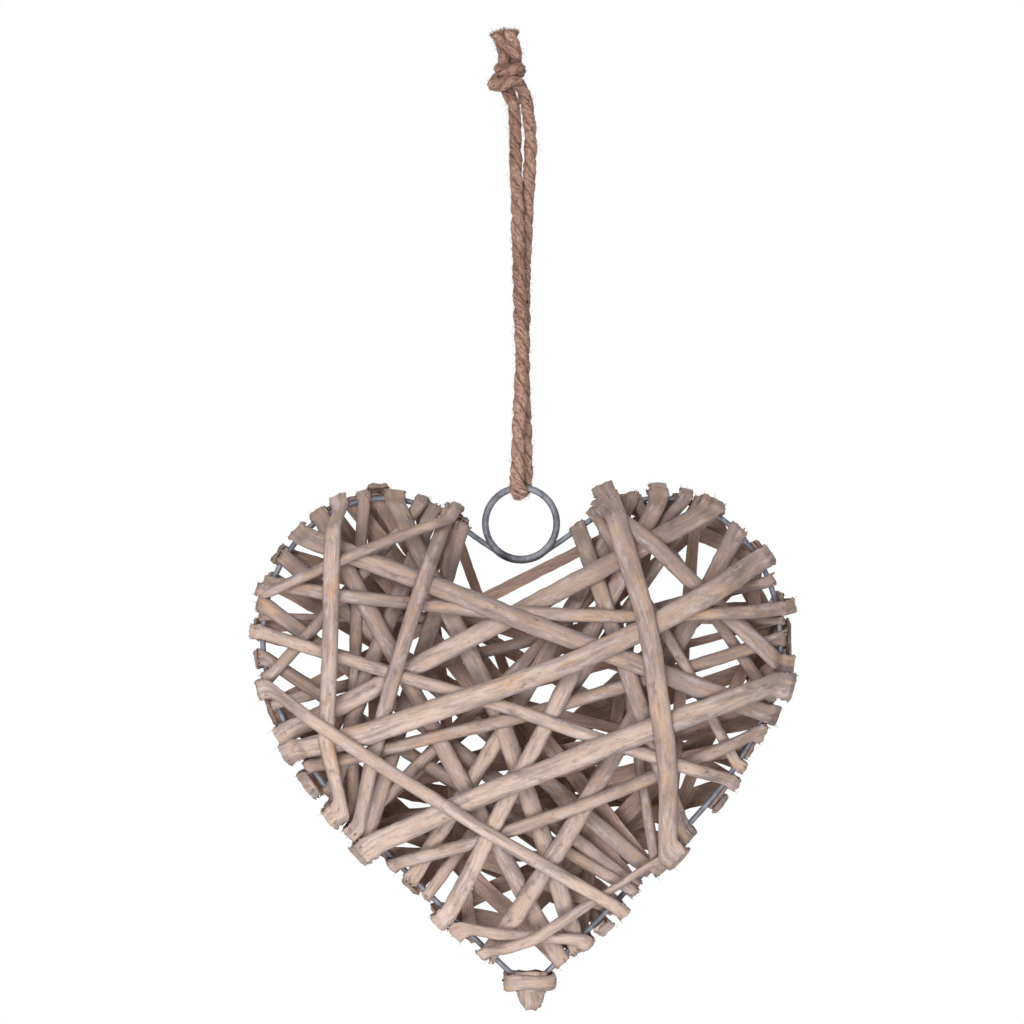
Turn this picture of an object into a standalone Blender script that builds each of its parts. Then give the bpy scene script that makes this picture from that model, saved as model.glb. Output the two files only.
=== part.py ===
"""A hanging heart of split willow, wound over a wire frame, with a ring and a jute loop.

Metres, +Z up, front towards -Y. The origin is the hanging point: between the two
strands of the loop, just under its knot. The heart's wire lies in the plane Y = 0.
"""
import math

import bmesh
import bpy
import numpy as np
from mathutils import Vector

# Clearance left between pieces that touch
GAP = 0.0003

# Frame wire: the heart's outline, as the wire's centre line
HEART_WIDTH = 0.195
HEART_DROP = 0.175          # from the ring's centre down to the point
FRAME_WIRE = 0.0020         # diameter
HEART_LEAN = 0.0030         # the point hangs this far to the right of the ring
HUG_FROM, HUG_TO = -64, -38     # the wire follows the ring's underside between these angles
# Right half of the outline: shares of the half width and of the drop
HEART_SHAPE = ((0.225, -0.010), (0.37, 0.037), (0.575, 0.053), (0.78, 0.008), (0.94, -0.100),
               (1.0, -0.245), (0.952, -0.385), (0.80, -0.540), (0.533, -0.708), (0.260, -0.862),
               (0.035, -0.985))
HEART_CURVE_STEPS = 40      # between two points of the shape
LINE_STEPS = 1280           # samples round the frame
FRAME_SEGMENTS, FRAME_SIDES = 72, 6

# Ring in the notch
RING_DIAMETER = 0.0294      # outside
RING_WIRE = 0.0025
RING_SEGMENTS, RING_SIDES = 32, 8
LOOP_DROP = 0.1566          # from the hanging point down to the ring's centre

# Jute loop: the doubled twine's own route in millimetres, down in front and up behind the ring
TWINE = 0.0040
TWINE_SIDES = 2             # bevel resolution: 8 sides
LOOP_TOP = 0.0024           # both strands end here, under the knot
ROUTE_CURVE_STEPS = 12      # between two points of the route
ROUTE_DOWN = ((-2.7, -0.3, 2.4), (-2.5, -0.3, -2.0), (-2.2, -0.3, -8.0), (-2.1, -0.3, -16.0),
              (-2.0, -0.6, -24.0), (-1.5, -1.4, -34.5), (-1.1, -1.9, -50.0), (-0.5, -2.2, -72.0),
              (0.2, -2.3, -95.0), (-0.6, -2.2, -115.7), (-1.3, -2.4, -128.5), (-1.5, -3.2, -137.5))
ROUTE_UP = ((2.2, 3.2, -137.5), (1.9, 2.4, -128.5), (1.5, 2.1, -115.7), (0.9, 2.3, -95.0),
            (1.1, 2.2, -72.0), (1.9, 1.9, -50.0), (2.6, 1.5, -34.5), (3.2, 0.7, -24.0),
            (3.6, 0.3, -16.0), (3.4, 0.3, -8.0), (2.7, 0.3, -2.0), (2.3, 0.3, 2.4))
STRAND_POINTS = 18          # along each strand
BEND_STEPS = 8              # round the ring's wire
BEND_SLACK = 0.0003         # the bend's facets stay clear of the wire

# Knot: an overhand knot in the doubled twine, its two short ends upwards
KNOT_CENTRE = (-0.0050, 0.0, 0.0115)
KNOT_WIDTH = 0.0130
KNOT_HEIGHT = 0.0125
KNOT_DEPTH = 0.0080
KNOT_TOP = 0.0305
KNOT_STEPS = 48             # round the overhand turns
KNOT_MARGIN = 0.0010        # from the turns' centre line to the knot's outside
TURN_RADIUS, STRAND_RADIUS, TAIL_RADIUS = 0.0029, 0.0019, 0.0021
KNOT_VOXEL = 0.0010
KNOT_KEEP = 0.16            # share of the faces kept

# Willow strips: half-round splits
STRIP_THICKNESS = 0.0018    # in the open
FOLD_THICKNESS = 0.0011     # crushed where it turns over the wire
SHOULDER_WIDTH, SHOULDER_HEIGHT = 0.66, 0.80    # of the dome, as shares
SLANT_SHARE = 0.25          # of a run, over which its slanted end turns square
FOLD_ANGLES = (45, 90, 135)     # sections round a fold, from the front to the back
HOOK_ANGLES = (135, 90, 45)     # sections round a strip's first end
SUPPORT_STEP = 0.0030       # spacing of the places where a strip may rest on the pile
END_STEPS = (0.0012, 0.0028, 0.0050)    # closer places near the wire
BEND_APART = 0.0120         # bends nearer each other than this become one
FLATTEST_BEND = 0.02        # as a change of slope
CELL = 0.0006               # pile map's cell
REACH = 0.124               # half size of the pile map
SIDE_MARGIN = 1.03          # a strip is laid on the map this much wider than it is

# Every strip's front run, from the first laid to the last: the two places where it meets
# the frame, in thousandths of the way round from the notch, clockwise as seen from the
# front; its width and its sideways bow in millimetres
LACING = (
    (789, 213, 3.0, 0.0), (188, 735, 4.5, 0.0), (83, 262, 4.5, 0.0), (797, 406, 6.0, 0.0),
    (828, 392, 6.2, 0.0), (60, 387, 4.2, 0.0), (582, 122, 4.5, 0.0), (764, 409, 4.8, 1.0),
    (891, 648, 4.8, 1.8), (113, 644, 4.6, 0.0), (597, 78, 6.2, 1.5), (934, 668, 6.2, 2.1),
    (750, 926, 4.6, 0.8), (955, 635, 6.2, 0.0), (862, 471, 6.6, 0.0), (909, 457, 7.0, -5.6),
    (151, 530, 7.0, -2.8), (224, 691, 5.0, -1.7), (56, 308, 4.2, -1.0), (553, 452, 4.6, 0.5),
    (533, 384, 4.6, 5.3), (610, 284, 5.0, 2.8), (98, 566, 6.4, 0.0), (44, 362, 6.4, 0.5),
    (716, 130, 7.4, 0.0), (63, 240, 6.4, -2.4), (810, 206, 5.0, 5.5), (780, 319, 5.0, -1.5),
    (845, 271, 7.4, -0.6), (944, 643, 5.6, 2.3), (805, 946, 4.0, -1.0), (704, 174, 8.2, 8.0),
    (876, 658, 6.0, 7.6), (252, 629, 8.2, 2.8), (745, 423, 5.0, 1.4), (67, 376, 7.8, -5.8))

# Where the back runs may end, and how freely they leave the mirrored direction
NOTCH_KEPT_FREE = 0.046     # share of the frame either side of the notch
TIP_KEPT_FREE = 0.030       # share of the frame either side of the point
TURN_FREEDOM = 26           # degrees
STEEPEST_END = 64           # degrees from square across the wire
SHORTEST_RUN = 0.25         # of the heart's width
TRIED_EVERY = 3             # frame samples
TURN_PRICE = 0.05           # layers' worth of each degree off that direction
CLIMB_PRICE = 0.8           # of each layer that the run has to climb over

# Wrapping at the point: a band round the wires over a strip folded under them
BAND_HEIGHT = 0.0062
BAND_WALL = 0.0018
BAND_TOP = 0.0056           # above the frame wire's point
BAND_STEPS = 28
BAND_SQUARENESS = 0.7       # 1 is round in plan, 0 is square
BAND_WAVE = 0.0004
TIP_FLARE = 1.06            # the wires' half distance at a height above their point
TIP_STRIP_WIDTH = 0.0124
TIP_STRIP_THICKNESS = 0.0020
TIP_STRIP_DROP = 0.0082     # the fold hangs this far below the wire's point
TIP_STRIP_RISE = 0.0006     # its two ends stand this far above the band
TIP_STRIP_SHIFT = 0.0006    # to the right
TIP_STRIP_TAPER = 0.32      # of its width, down to the fold

WILLOW = ("Grey willow", (0.42, 0.33, 0.27), 0.80, 0.0)
ZINC = ("Galvanised wire", (0.42, 0.43, 0.47), 0.42, 1.0)
JUTE = ("Jute", (0.40, 0.23, 0.15), 0.90, 0.0)


def clear_scene():
    for thing in list(bpy.data.objects):
        bpy.data.objects.remove(thing, do_unlink=True)


def material(look):
    name, colour, roughness, metallic = look
    found = bpy.data.materials.get(name)
    if found:
        return found
    made = bpy.data.materials.new(name)
    made.use_nodes = True
    shader = made.node_tree.nodes["Principled BSDF"]
    shader.inputs["Base Color"].default_value = (*colour, 1.0)
    shader.inputs["Roughness"].default_value = roughness
    shader.inputs["Metallic"].default_value = metallic
    return made


def add_object(name, data, look):
    thing = bpy.data.objects.new(name, data)
    bpy.context.collection.objects.link(thing)
    data.materials.append(material(look))
    return thing


def loft(name, rings, look, closed=False):
    """One closed solid through rings of points; a closed loft meets its own start."""
    shape = bmesh.new()
    made = [[shape.verts.new(point) for point in ring] for ring in rings]
    pairs = list(zip(made, made[1:]))
    if closed:
        pairs.append((made[-1], made[0]))
    for first, second in pairs:
        for k in range(len(first)):
            following = (k + 1) % len(first)
            shape.faces.new((first[k], first[following], second[following], second[k]))
    if not closed:
        shape.faces.new(list(reversed(made[0])))
        shape.faces.new(made[-1])
    bmesh.ops.recalc_face_normals(shape, faces=shape.faces)
    mesh = bpy.data.meshes.new(name)
    shape.to_mesh(mesh)
    shape.free()
    mesh.shade_smooth()
    mesh.set_sharp_from_angle(angle=math.radians(50))
    return add_object(name, mesh, look)


def smooth_curve(points, steps, closed=False):
    """Centripetal Catmull-Rom curve through a list of points."""
    points = np.array(points, dtype=float)
    if closed:
        padded = np.vstack([points[-1:], points, points[:2]])
    else:
        padded = np.vstack([2 * points[0] - points[1], points, 2 * points[-1] - points[-2]])
    fine = []
    for k in range(len(padded) - 3):
        p0, p1, p2, p3 = padded[k:k + 4]
        t1 = np.linalg.norm(p1 - p0) ** 0.5
        t2 = t1 + np.linalg.norm(p2 - p1) ** 0.5
        t3 = t2 + np.linalg.norm(p3 - p2) ** 0.5
        for t in np.linspace(t1, t2, steps, endpoint=False):
            a1 = (t1 - t) / t1 * p0 + t / t1 * p1
            a2 = (t2 - t) / (t2 - t1) * p1 + (t - t1) / (t2 - t1) * p2
            a3 = (t3 - t) / (t3 - t2) * p2 + (t - t2) / (t3 - t2) * p3
            b1 = (t2 - t) / t2 * a1 + t / t2 * a2
            b2 = (t3 - t) / (t3 - t1) * a2 + (t - t1) / (t3 - t1) * a3
            fine.append((t2 - t) / (t2 - t1) * b1 + (t - t1) / (t2 - t1) * b2)
    fine.append(points[0] if closed else points[-1])
    return np.array(fine)


def evenly(fine, count, closed=False):
    """The same curve as evenly spaced points, and its length."""
    length = np.concatenate([[0.0], np.cumsum(np.linalg.norm(np.diff(fine, axis=0), axis=1))])
    wanted = np.linspace(0.0, length[-1], count, endpoint=not closed)
    columns = [np.interp(wanted, length, fine[:, k]) for k in range(fine.shape[1])]
    return np.stack(columns, axis=1), length[-1]


class Outline:
    """The frame wire's centre line in the plane, clockwise from the notch."""

    def __init__(self):
        hug = RING_DIAMETER / 2 + GAP + FRAME_WIRE / 2
        half = [(hug * math.cos(math.radians(a)), hug * math.sin(math.radians(a)))
                for a in (HUG_FROM, HUG_TO)]
        half += [(x * HEART_WIDTH / 2, z * HEART_DROP) for x, z in HEART_SHAPE]
        points = [(0.0, -hug)] + half + [(0.0, -HEART_DROP)] + [(-x, z) for x, z in reversed(half)]
        leant = []
        for x, z in points:
            below_ring = z < -hug - FRAME_WIRE / 2
            leant.append((x + (HEART_LEAN * (z / HEART_DROP) ** 2 if below_ring else 0.0), z))
        fine = smooth_curve(leant, HEART_CURVE_STEPS, closed=True)
        self.points, self.length = evenly(fine, LINE_STEPS, closed=True)
        ahead = np.roll(self.points, -3, axis=0) - np.roll(self.points, 3, axis=0)
        self.along = ahead / np.linalg.norm(ahead, axis=1)[:, None]
        self.out = np.stack([-self.along[:, 1], self.along[:, 0]], axis=1)
        self.step = self.length / LINE_STEPS

    def index(self, thousandths):
        return int(round(thousandths / 1000 * LINE_STEPS)) % LINE_STEPS


class Pile:
    """How far the work laid so far stands out from the frame's plane, on one side."""

    def __init__(self, outline):
        self.size = int(2 * REACH / CELL)
        self.height = np.zeros((self.size, self.size))
        self.lay(outline.points, np.full(LINE_STEPS, FRAME_WIRE / 2))
        turn = np.linspace(0, 2 * math.pi, 400)
        for radius in np.linspace(RING_DIAMETER / 2 - RING_WIRE, RING_DIAMETER / 2, 5):
            circle = np.stack([np.cos(turn), np.sin(turn)], axis=1) * radius
            self.lay(circle, np.full(len(turn), RING_WIRE / 2))

    def cells(self, points):
        shifted = np.stack([points[:, 0] + REACH, points[:, 1] + REACH + HEART_DROP / 2], axis=1)
        return np.clip((shifted / CELL).astype(int), 1, self.size - 2).T

    def lay(self, points, heights):
        columns, rows = self.cells(points)
        np.maximum.at(self.height, (columns, rows), heights)

    def spread(self):
        """Each cell's highest neighbour, so that a reading errs on the clear side."""
        best = self.height.copy()
        for across in (-1, 0, 1):
            for up in (-1, 0, 1):
                best = np.maximum(best, np.roll(self.height, (across, up), axis=(0, 1)))
        return best


def taut(places, needs):
    """A band pulled tight over the needs: the corner places that hold it up."""
    kept = []
    for here in zip(places, needs):
        while len(kept) >= 2:
            (x0, y0), (x1, y1) = kept[-2], kept[-1]
            if (y1 - y0) * (here[0] - x0) <= (here[1] - y0) * (x1 - x0):
                kept.pop()
            else:
                break
        kept.append(here)
    return kept


def fewer(corners, apart):
    """Join each pair of close bends into the one bend that lies outside both."""
    corners = list(corners)
    k = 1
    while k < len(corners) - 2:
        (x0, y0), (x1, y1), (x2, y2), (x3, y3) = corners[k - 1:k + 3]
        if x2 - x1 < apart:
            before, after = (y1 - y0) / (x1 - x0), (y3 - y2) / (x3 - x2)
            x = (y2 - y1 + before * x1 - after * x2) / max(before - after, FLATTEST_BEND)
            x = min(max(x, x1), x2)
            corners[k:k + 2] = [(x, max(y1 + before * (x - x1), y2 + after * (x - x2)))]
        else:
            k += 1
    return corners


class Work:
    """The heart being wound: its outline, the pile on each side and the folds on the wire."""

    def __init__(self):
        self.outline = Outline()
        self.piles = {-1: Pile(self.outline), 1: Pile(self.outline)}
        self.edge = np.full(LINE_STEPS, FRAME_WIRE / 2)

    def near(self, index, half):
        """Frame samples beside an index, and how far each lies outside its tangent."""
        count = int(math.ceil((half + CELL) / self.outline.step))
        beside = np.arange(index - count, index + count + 1) % LINE_STEPS
        offset = (self.outline.points[beside] - self.outline.points[index]) @ self.outline.out[index]
        return beside, offset

    def half_length(self, index, direction, width):
        """Half of the stretch of wire that a strip covers as it crosses it on the slant."""
        square = abs(float(direction @ self.outline.out[index]))
        return width / 2 / max(square, math.cos(math.radians(STEEPEST_END)))

    def fold_patch(self, index, half, reach):
        """Points of the plane that a fold covers, from the wire outwards."""
        across = np.linspace(-1, 1, int(2 * half / (CELL / 2)) + 2) * half
        outward = np.arange(0.0, reach + CELL / 2, CELL / 2)
        grid = (self.outline.points[index] + across[:, None, None] * self.outline.along[index]
                + outward[None, :, None] * self.outline.out[index])
        return grid.reshape(-1, 2)

    def seat(self, index, half):
        """Radii at which a new fold clears the work: at the front, the side and the back."""
        beside, offset = self.near(index, half)
        side = float(np.max(self.edge[beside] + offset)) + GAP
        patch = self.fold_patch(index, half, side + FOLD_THICKNESS)
        radii = {}
        for face, pile in self.piles.items():
            columns, rows = pile.cells(patch)
            radii[face] = float(pile.spread()[columns, rows].max()) + GAP
        return radii[-1], side, radii[1]

    def lay_fold(self, index, half, radii, faces):
        """Add a fold to the wire's own build-up and to the piles that it shows on."""
        front, side, back = radii
        beside, offset = self.near(index, half)
        self.edge[beside] = np.maximum(self.edge[beside], side + FOLD_THICKNESS - offset)
        patch = self.fold_patch(index, half, side + FOLD_THICKNESS)
        for face, radius in ((-1, front), (1, back)):
            if face in faces:
                self.piles[face].lay(patch, np.full(len(patch), radius + FOLD_THICKNESS))

    def run(self, face, start, end, width, bow, radii):
        """Sections of a run across one side, from the wire at start to the wire at end."""
        line = self.outline
        first, last = line.points[start], line.points[end]
        span = last - first
        distance = float(np.linalg.norm(span))
        heading = span / distance
        beside = np.array([heading[1], -heading[0]])
        halves = []
        for index in (start, end):
            slant = float(line.along[index] @ beside)
            along = line.along[index] if slant > 0 else -line.along[index]
            square = max(abs(slant), math.cos(math.radians(STEEPEST_END)))
            halves.append(along * width / 2 / square)

        def place(share):
            share = np.asarray(share)[..., None]
            return first + span * share + beside * bow * 4 * share * (1 - share)

        def across(share):
            """Half of the section: slanted along the wire at the ends, square between."""
            share = np.asarray(share)[..., None]
            square = beside * width / 2
            lead = np.clip(1 - share / SLANT_SHARE, 0, 1)
            tail = np.clip(1 - (1 - share) / SLANT_SHARE, 0, 1)
            return square + lead * (halves[0] - square) + tail * (halves[1] - square)

        shares = np.linspace(0, 1, int(distance / (CELL / 2)))
        widest = 2 * max(np.linalg.norm(half) for half in halves)
        sides = np.linspace(-SIDE_MARGIN, SIDE_MARGIN, int(widest / (CELL / 2)) + 2)
        grid = place(shares)[:, None, :] + sides[None, :, None] * across(shares)[:, None, :]
        pile = self.piles[face]
        columns, rows = pile.cells(grid.reshape(-1, 2))
        needs = pile.spread()[columns, rows].reshape(len(shares), -1).max(axis=1) + GAP
        ends = np.array((0.0,) + END_STEPS) / distance
        steps = max(4, int(round(distance / SUPPORT_STEP)))
        inner = np.linspace(0, 1, steps + 1)
        inner = inner[(inner > ends[-1] * 1.1) & (inner < 1 - ends[-1] * 1.1)]
        marks = np.concatenate([ends, inner, 1 - ends[::-1]])
        held = []
        for k, mark in enumerate(marks):
            around = ((shares >= marks[max(k - 1, 0)] - 1e-6)
                      & (shares <= marks[min(k + 1, len(marks) - 1)] + 1e-6))
            held.append(float(needs[around].max()))
        held[0] = max(held[0], radii[0])
        held[-1] = max(held[-1], radii[1])
        corners = fewer(taut(marks, held), BEND_APART / distance)
        corner_shares = [c[0] for c in corners]
        corner_heights = [c[1] for c in corners]
        thick = [FOLD_THICKNESS] + [STRIP_THICKNESS] * (len(corners) - 2) + [FOLD_THICKNESS]
        tops = np.interp(shares, corner_shares, np.array(corner_heights) + np.array(thick))
        pile.lay(grid.reshape(-1, 2), np.repeat(tops, len(sides)))
        sections = []
        for share, height, depth in zip(corner_shares, corner_heights, thick):
            middle, side = place(share), across(share)
            sections.append((Vector((middle[0], face * height, middle[1])),
                             Vector((side[0], 0.0, side[1])),
                             Vector((0.0, face * depth, 0.0))))
        return sections

    def fold(self, index, half, radii, angles, first_side):
        """Sections round the wire; angle 0 is the front, 90 outside, 180 the back."""
        front, side, back = radii
        centre, out = self.outline.points[index], self.outline.out[index]
        along = self.outline.along[index] * half
        if Vector((along[0], 0.0, along[1])).dot(first_side) < 0:
            along = -along
        sections = []
        for angle in angles:
            turn = math.radians(angle)
            ends = front if angle < 90 else back
            radius = side + (ends - side) * abs(math.cos(turn))
            plane = centre + out * radius * math.sin(turn)
            radial = Vector((out[0] * math.sin(turn), -math.cos(turn), out[1] * math.sin(turn)))
            place = Vector((plane[0], -radius * math.cos(turn), plane[1]))
            sections.append((place, Vector((along[0], 0.0, along[1])), radial * FOLD_THICKNESS))
        return sections

    def next_end(self, start, arriving, width):
        """Where a back run goes from a fold: near the mirrored direction, on a bare place."""
        line = self.outline
        out = line.out[start]
        leaving = arriving - 2 * float(arriving @ out) * out
        rays = line.points - line.points[start]
        distance = np.linalg.norm(rays, axis=1)
        rays = rays / np.maximum(distance, CELL)[:, None]
        turned = np.degrees(np.arccos(np.clip(rays @ leaving, -1, 1)))
        square = np.abs(np.sum(rays * line.out, axis=1))
        share = np.arange(LINE_STEPS) / LINE_STEPS
        from_notch = np.minimum(share, 1 - share)
        crossing = line.points[:, 0] * line.points[start, 0] < 0
        rise = line.points[:, 1] - line.points[start, 1]
        run = line.points[:, 0] - line.points[start, 0]
        at_middle = line.points[start, 1] - line.points[start, 0] * rise / np.where(run == 0, 1, run)
        below = at_middle < -RING_DIAMETER / 2 - FRAME_WIRE - width
        allowed = ((turned < TURN_FREEDOM) & (square > math.cos(math.radians(STEEPEST_END)))
                   & (distance > SHORTEST_RUN * HEART_WIDTH)
                   & (from_notch > NOTCH_KEPT_FREE) & (from_notch < 0.5 - TIP_KEPT_FREE)
                   & (~crossing | below))
        along_way = np.linspace(0.1, 0.9, 60)[:, None]
        best, cost = None, None
        for index in np.nonzero(allowed)[0][::TRIED_EVERY]:
            beside, offset = self.near(int(index), width / 2 / square[index])
            build_up = float(np.max(self.edge[beside] + offset)) / FOLD_THICKNESS
            way = line.points[start] + along_way * (line.points[index] - line.points[start])
            columns, rows = self.piles[1].cells(way)
            climb = float(self.piles[1].height[columns, rows].max()) / STRIP_THICKNESS
            price = build_up + CLIMB_PRICE * climb + TURN_PRICE * turned[index]
            if cost is None or price < cost:
                best, cost = int(index), price
        return best

    def hairpin(self, start, turn, width, bow):
        """One strip: over the wire, across the front, round the wire, back across behind."""
        line = self.outline
        start, turn = line.index(start), line.index(turn)
        heading = line.points[turn] - line.points[start]
        heading = heading / np.linalg.norm(heading)
        half_start = self.half_length(start, heading, width)
        half_turn = self.half_length(turn, heading, width)
        seat_start = self.seat(start, half_start)
        seat_turn = self.seat(turn, half_turn)
        front = self.run(-1, start, turn, width, bow, (seat_start[0], seat_turn[0]))
        seat_start = (-front[0][0].y, seat_start[1], seat_start[2])
        self.lay_fold(start, half_start, seat_start, (-1, 1))
        last = self.next_end(turn, heading, width)
        back_heading = line.points[last] - line.points[turn]
        back_heading = back_heading / np.linalg.norm(back_heading)
        half_last = self.half_length(last, back_heading, width)
        seat_turn = (-front[-1][0].y, seat_turn[1], self.seat(turn, half_turn)[2])
        seat_last = self.seat(last, half_last)
        back = self.run(1, turn, last, width, 0.0, (seat_turn[2], seat_last[2]))
        seat_turn = (seat_turn[0], seat_turn[1], back[0][0].y)
        seat_last = (seat_last[0], seat_last[1], back[-1][0].y)
        self.lay_fold(turn, half_turn, seat_turn, (-1, 1))
        self.lay_fold(last, half_last, seat_last, (1,))
        hook = self.fold(start, half_start, seat_start, HOOK_ANGLES, front[0][1])
        bend = self.fold(turn, half_turn, seat_turn, FOLD_ANGLES, front[-1][1])
        if back[0][1].dot(bend[-1][1]) < 0:
            back = [(place, -side, depth) for place, side, depth in back]
        tail = self.fold(last, half_last, seat_last, HOOK_ANGLES[:2], back[-1][1])
        return hook + front + bend + back + tail


def strip_ring(place, side, depth):
    """A half-round split's section: flat inside, domed outside."""
    place = place + Vector((0.0, 0.0, -LOOP_DROP))
    shoulder, rise = side * SHOULDER_WIDTH, depth * SHOULDER_HEIGHT
    return [place - side, place + side, place + shoulder + rise, place + depth,
            place - shoulder + rise]


def willow_strips(work):
    for number, (start, turn, width, bow) in enumerate(LACING, 1):
        sections = work.hairpin(start, turn, width * 0.001, bow * 0.001)
        loft(f"willow_strip_{number:02d}", [strip_ring(*section) for section in sections], WILLOW)


def tube_rings(points, radius, sides, closed=False):
    """Rings of a round bar along points that lie in a plane of constant Y."""
    rings = []
    for k, point in enumerate(points):
        ahead = points[(k + 1) % len(points)] - points[k - 1]
        ahead = ahead / np.linalg.norm(ahead)
        out = Vector((-ahead[1], 0.0, ahead[0]))
        ring = []
        for side in range(sides):
            turn = 2 * math.pi * (side + 0.5) / sides
            offset = out * math.cos(turn) * radius + Vector((0.0, math.sin(turn) * radius, 0.0))
            ring.append(Vector((point[0], 0.0, point[1] - LOOP_DROP)) + offset)
        rings.append(ring)
    return rings


def wire_frame(outline):
    """The heart of wire, its joint welded in the notch under the ring."""
    chosen = np.linspace(0, LINE_STEPS, FRAME_SEGMENTS, endpoint=False).astype(int)
    rings = tube_rings(outline.points[chosen], FRAME_WIRE / 2, FRAME_SIDES)
    loft("wire_frame", rings, ZINC, closed=True)


def hanging_ring():
    turn = np.linspace(2 * math.pi, 0, RING_SEGMENTS, endpoint=False)
    points = np.stack([np.cos(turn), np.sin(turn)], axis=1) * (RING_DIAMETER - RING_WIRE) / 2
    loft("hanging_ring", tube_rings(points, RING_WIRE / 2, RING_SIDES), ZINC, closed=True)


def tip_binding(outline):
    """A crowned band wound round the wires just above the heart's point."""
    point = outline.points[int(outline.points[:, 1].argmin())]
    inner_x = (BAND_TOP + FRAME_WIRE / 2) * TIP_FLARE + FRAME_WIRE / 2 + 3 * GAP
    inner_y = FRAME_WIRE / 2 + TIP_STRIP_THICKNESS + 2 * GAP
    tall = Vector((0.0, 0.0, BAND_HEIGHT / 2))
    rings = []
    for k in range(BAND_STEPS):
        turn = 2 * math.pi * k / BAND_STEPS
        out = Vector((math.cos(turn), math.sin(turn), 0.0))
        wave = BAND_WAVE * math.sin(3 * turn + 0.6)
        middle = Vector((point[0] + math.copysign(abs(out.x) ** BAND_SQUARENESS, out.x) * inner_x,
                         math.copysign(abs(out.y) ** BAND_SQUARENESS, out.y) * inner_y,
                         point[1] + BAND_TOP - BAND_HEIGHT / 2 + wave - LOOP_DROP))
        wall = out * BAND_WALL
        shoulder, rise = tall * SHOULDER_WIDTH, wall * SHOULDER_HEIGHT
        rings.append([middle - tall, middle - shoulder + rise, middle + wall,
                      middle + shoulder + rise, middle + tall])
    loft("tip_binding", rings, WILLOW, closed=True)


def tip_strip(outline):
    """A short strip folded under the heart's point, its two ends held by the band."""
    point = outline.points[int(outline.points[:, 1].argmin())]
    centre_x = point[0] + TIP_STRIP_SHIFT
    inner = FRAME_WIRE / 2 + GAP
    top = point[1] + BAND_TOP + TIP_STRIP_RISE
    low = point[1] - TIP_STRIP_DROP + TIP_STRIP_THICKNESS + inner
    path = [(-inner, top, (0, -1, 0)), (-inner, point[1], (0, -1, 0)), (-inner, low, (0, -1, 0))]
    for angle in (30, 60, 90, 120, 150):
        turn = math.radians(angle)
        path.append((-inner * math.cos(turn), low - inner * math.sin(turn),
                     (0, -math.cos(turn), -math.sin(turn))))
    path += [(inner, low, (0, 1, 0)), (inner, point[1], (0, 1, 0)), (inner, top, (0, 1, 0))]
    rings = []
    for y, z, facing in path:
        share = min(1.0, max(0.0, (point[1] - z) / TIP_STRIP_DROP))
        half = TIP_STRIP_WIDTH / 2 * (1 - TIP_STRIP_TAPER * share ** 2)
        rings.append(strip_ring(Vector((centre_x, y, z)), Vector((half, 0.0, 0.0)),
                                Vector(facing) * TIP_STRIP_THICKNESS))
    loft("tip_fold", rings, WILLOW)


def loop_route():
    """The twine's centre line: down in front of the ring, under its wire and up behind."""
    wire_z = -LOOP_DROP + (RING_DIAMETER - RING_WIRE) / 2
    radius = RING_WIRE / 2 + GAP + TWINE / 2 + BEND_SLACK
    down = [tuple(0.001 * c for c in point) for point in ROUTE_DOWN]
    up = [tuple(0.001 * c for c in point) for point in ROUTE_UP]
    bend = []
    for k in range(BEND_STEPS + 1):
        share = k / BEND_STEPS
        turn = math.pi * share
        bend.append((down[-1][0] * (1 - share) + up[0][0] * share, -radius * math.cos(turn),
                     wire_z - radius * math.sin(turn)))
    fine = smooth_curve(down + bend + up, ROUTE_CURVE_STEPS)
    first, last = ROUTE_CURVE_STEPS * len(down), ROUTE_CURVE_STEPS * (len(down) + BEND_STEPS)
    before, length_before = evenly(fine[:first + 1], STRAND_POINTS)
    after, length_after = evenly(fine[last:], STRAND_POINTS)
    turned = np.array(bend)
    length = length_before + length_after + math.pi * radius
    return np.vstack([before[:-1], turned, after[1:]]), length


def jute_loop():
    points, length = loop_route()
    curve = bpy.data.curves.new("jute_loop", "CURVE")
    curve.dimensions = "3D"
    curve.bevel_depth = TWINE / 2
    curve.bevel_resolution = TWINE_SIDES
    curve.use_fill_caps = True
    spline = curve.splines.new("POLY")
    spline.points.add(len(points) - 1)
    for knot, point in zip(spline.points, points):
        knot.co = (*point, 1.0)
    add_object("jute_loop", curve, JUTE)
    return length


def thick_line(points, radius, sides=8):
    """Rings of a round bar along points in space."""
    rings = []
    points = [Vector(point) for point in points]
    normal = Vector((0.0, 1.0, 0.0))
    for k, point in enumerate(points):
        ahead = (points[min(k + 1, len(points) - 1)] - points[max(k - 1, 0)]).normalized()
        normal = (normal - ahead * normal.dot(ahead)).normalized()
        other = ahead.cross(normal)
        rings.append([point + (normal * math.cos(2 * math.pi * s / sides)
                               + other * math.sin(2 * math.pi * s / sides)) * radius
                      for s in range(sides)])
    return rings


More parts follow.
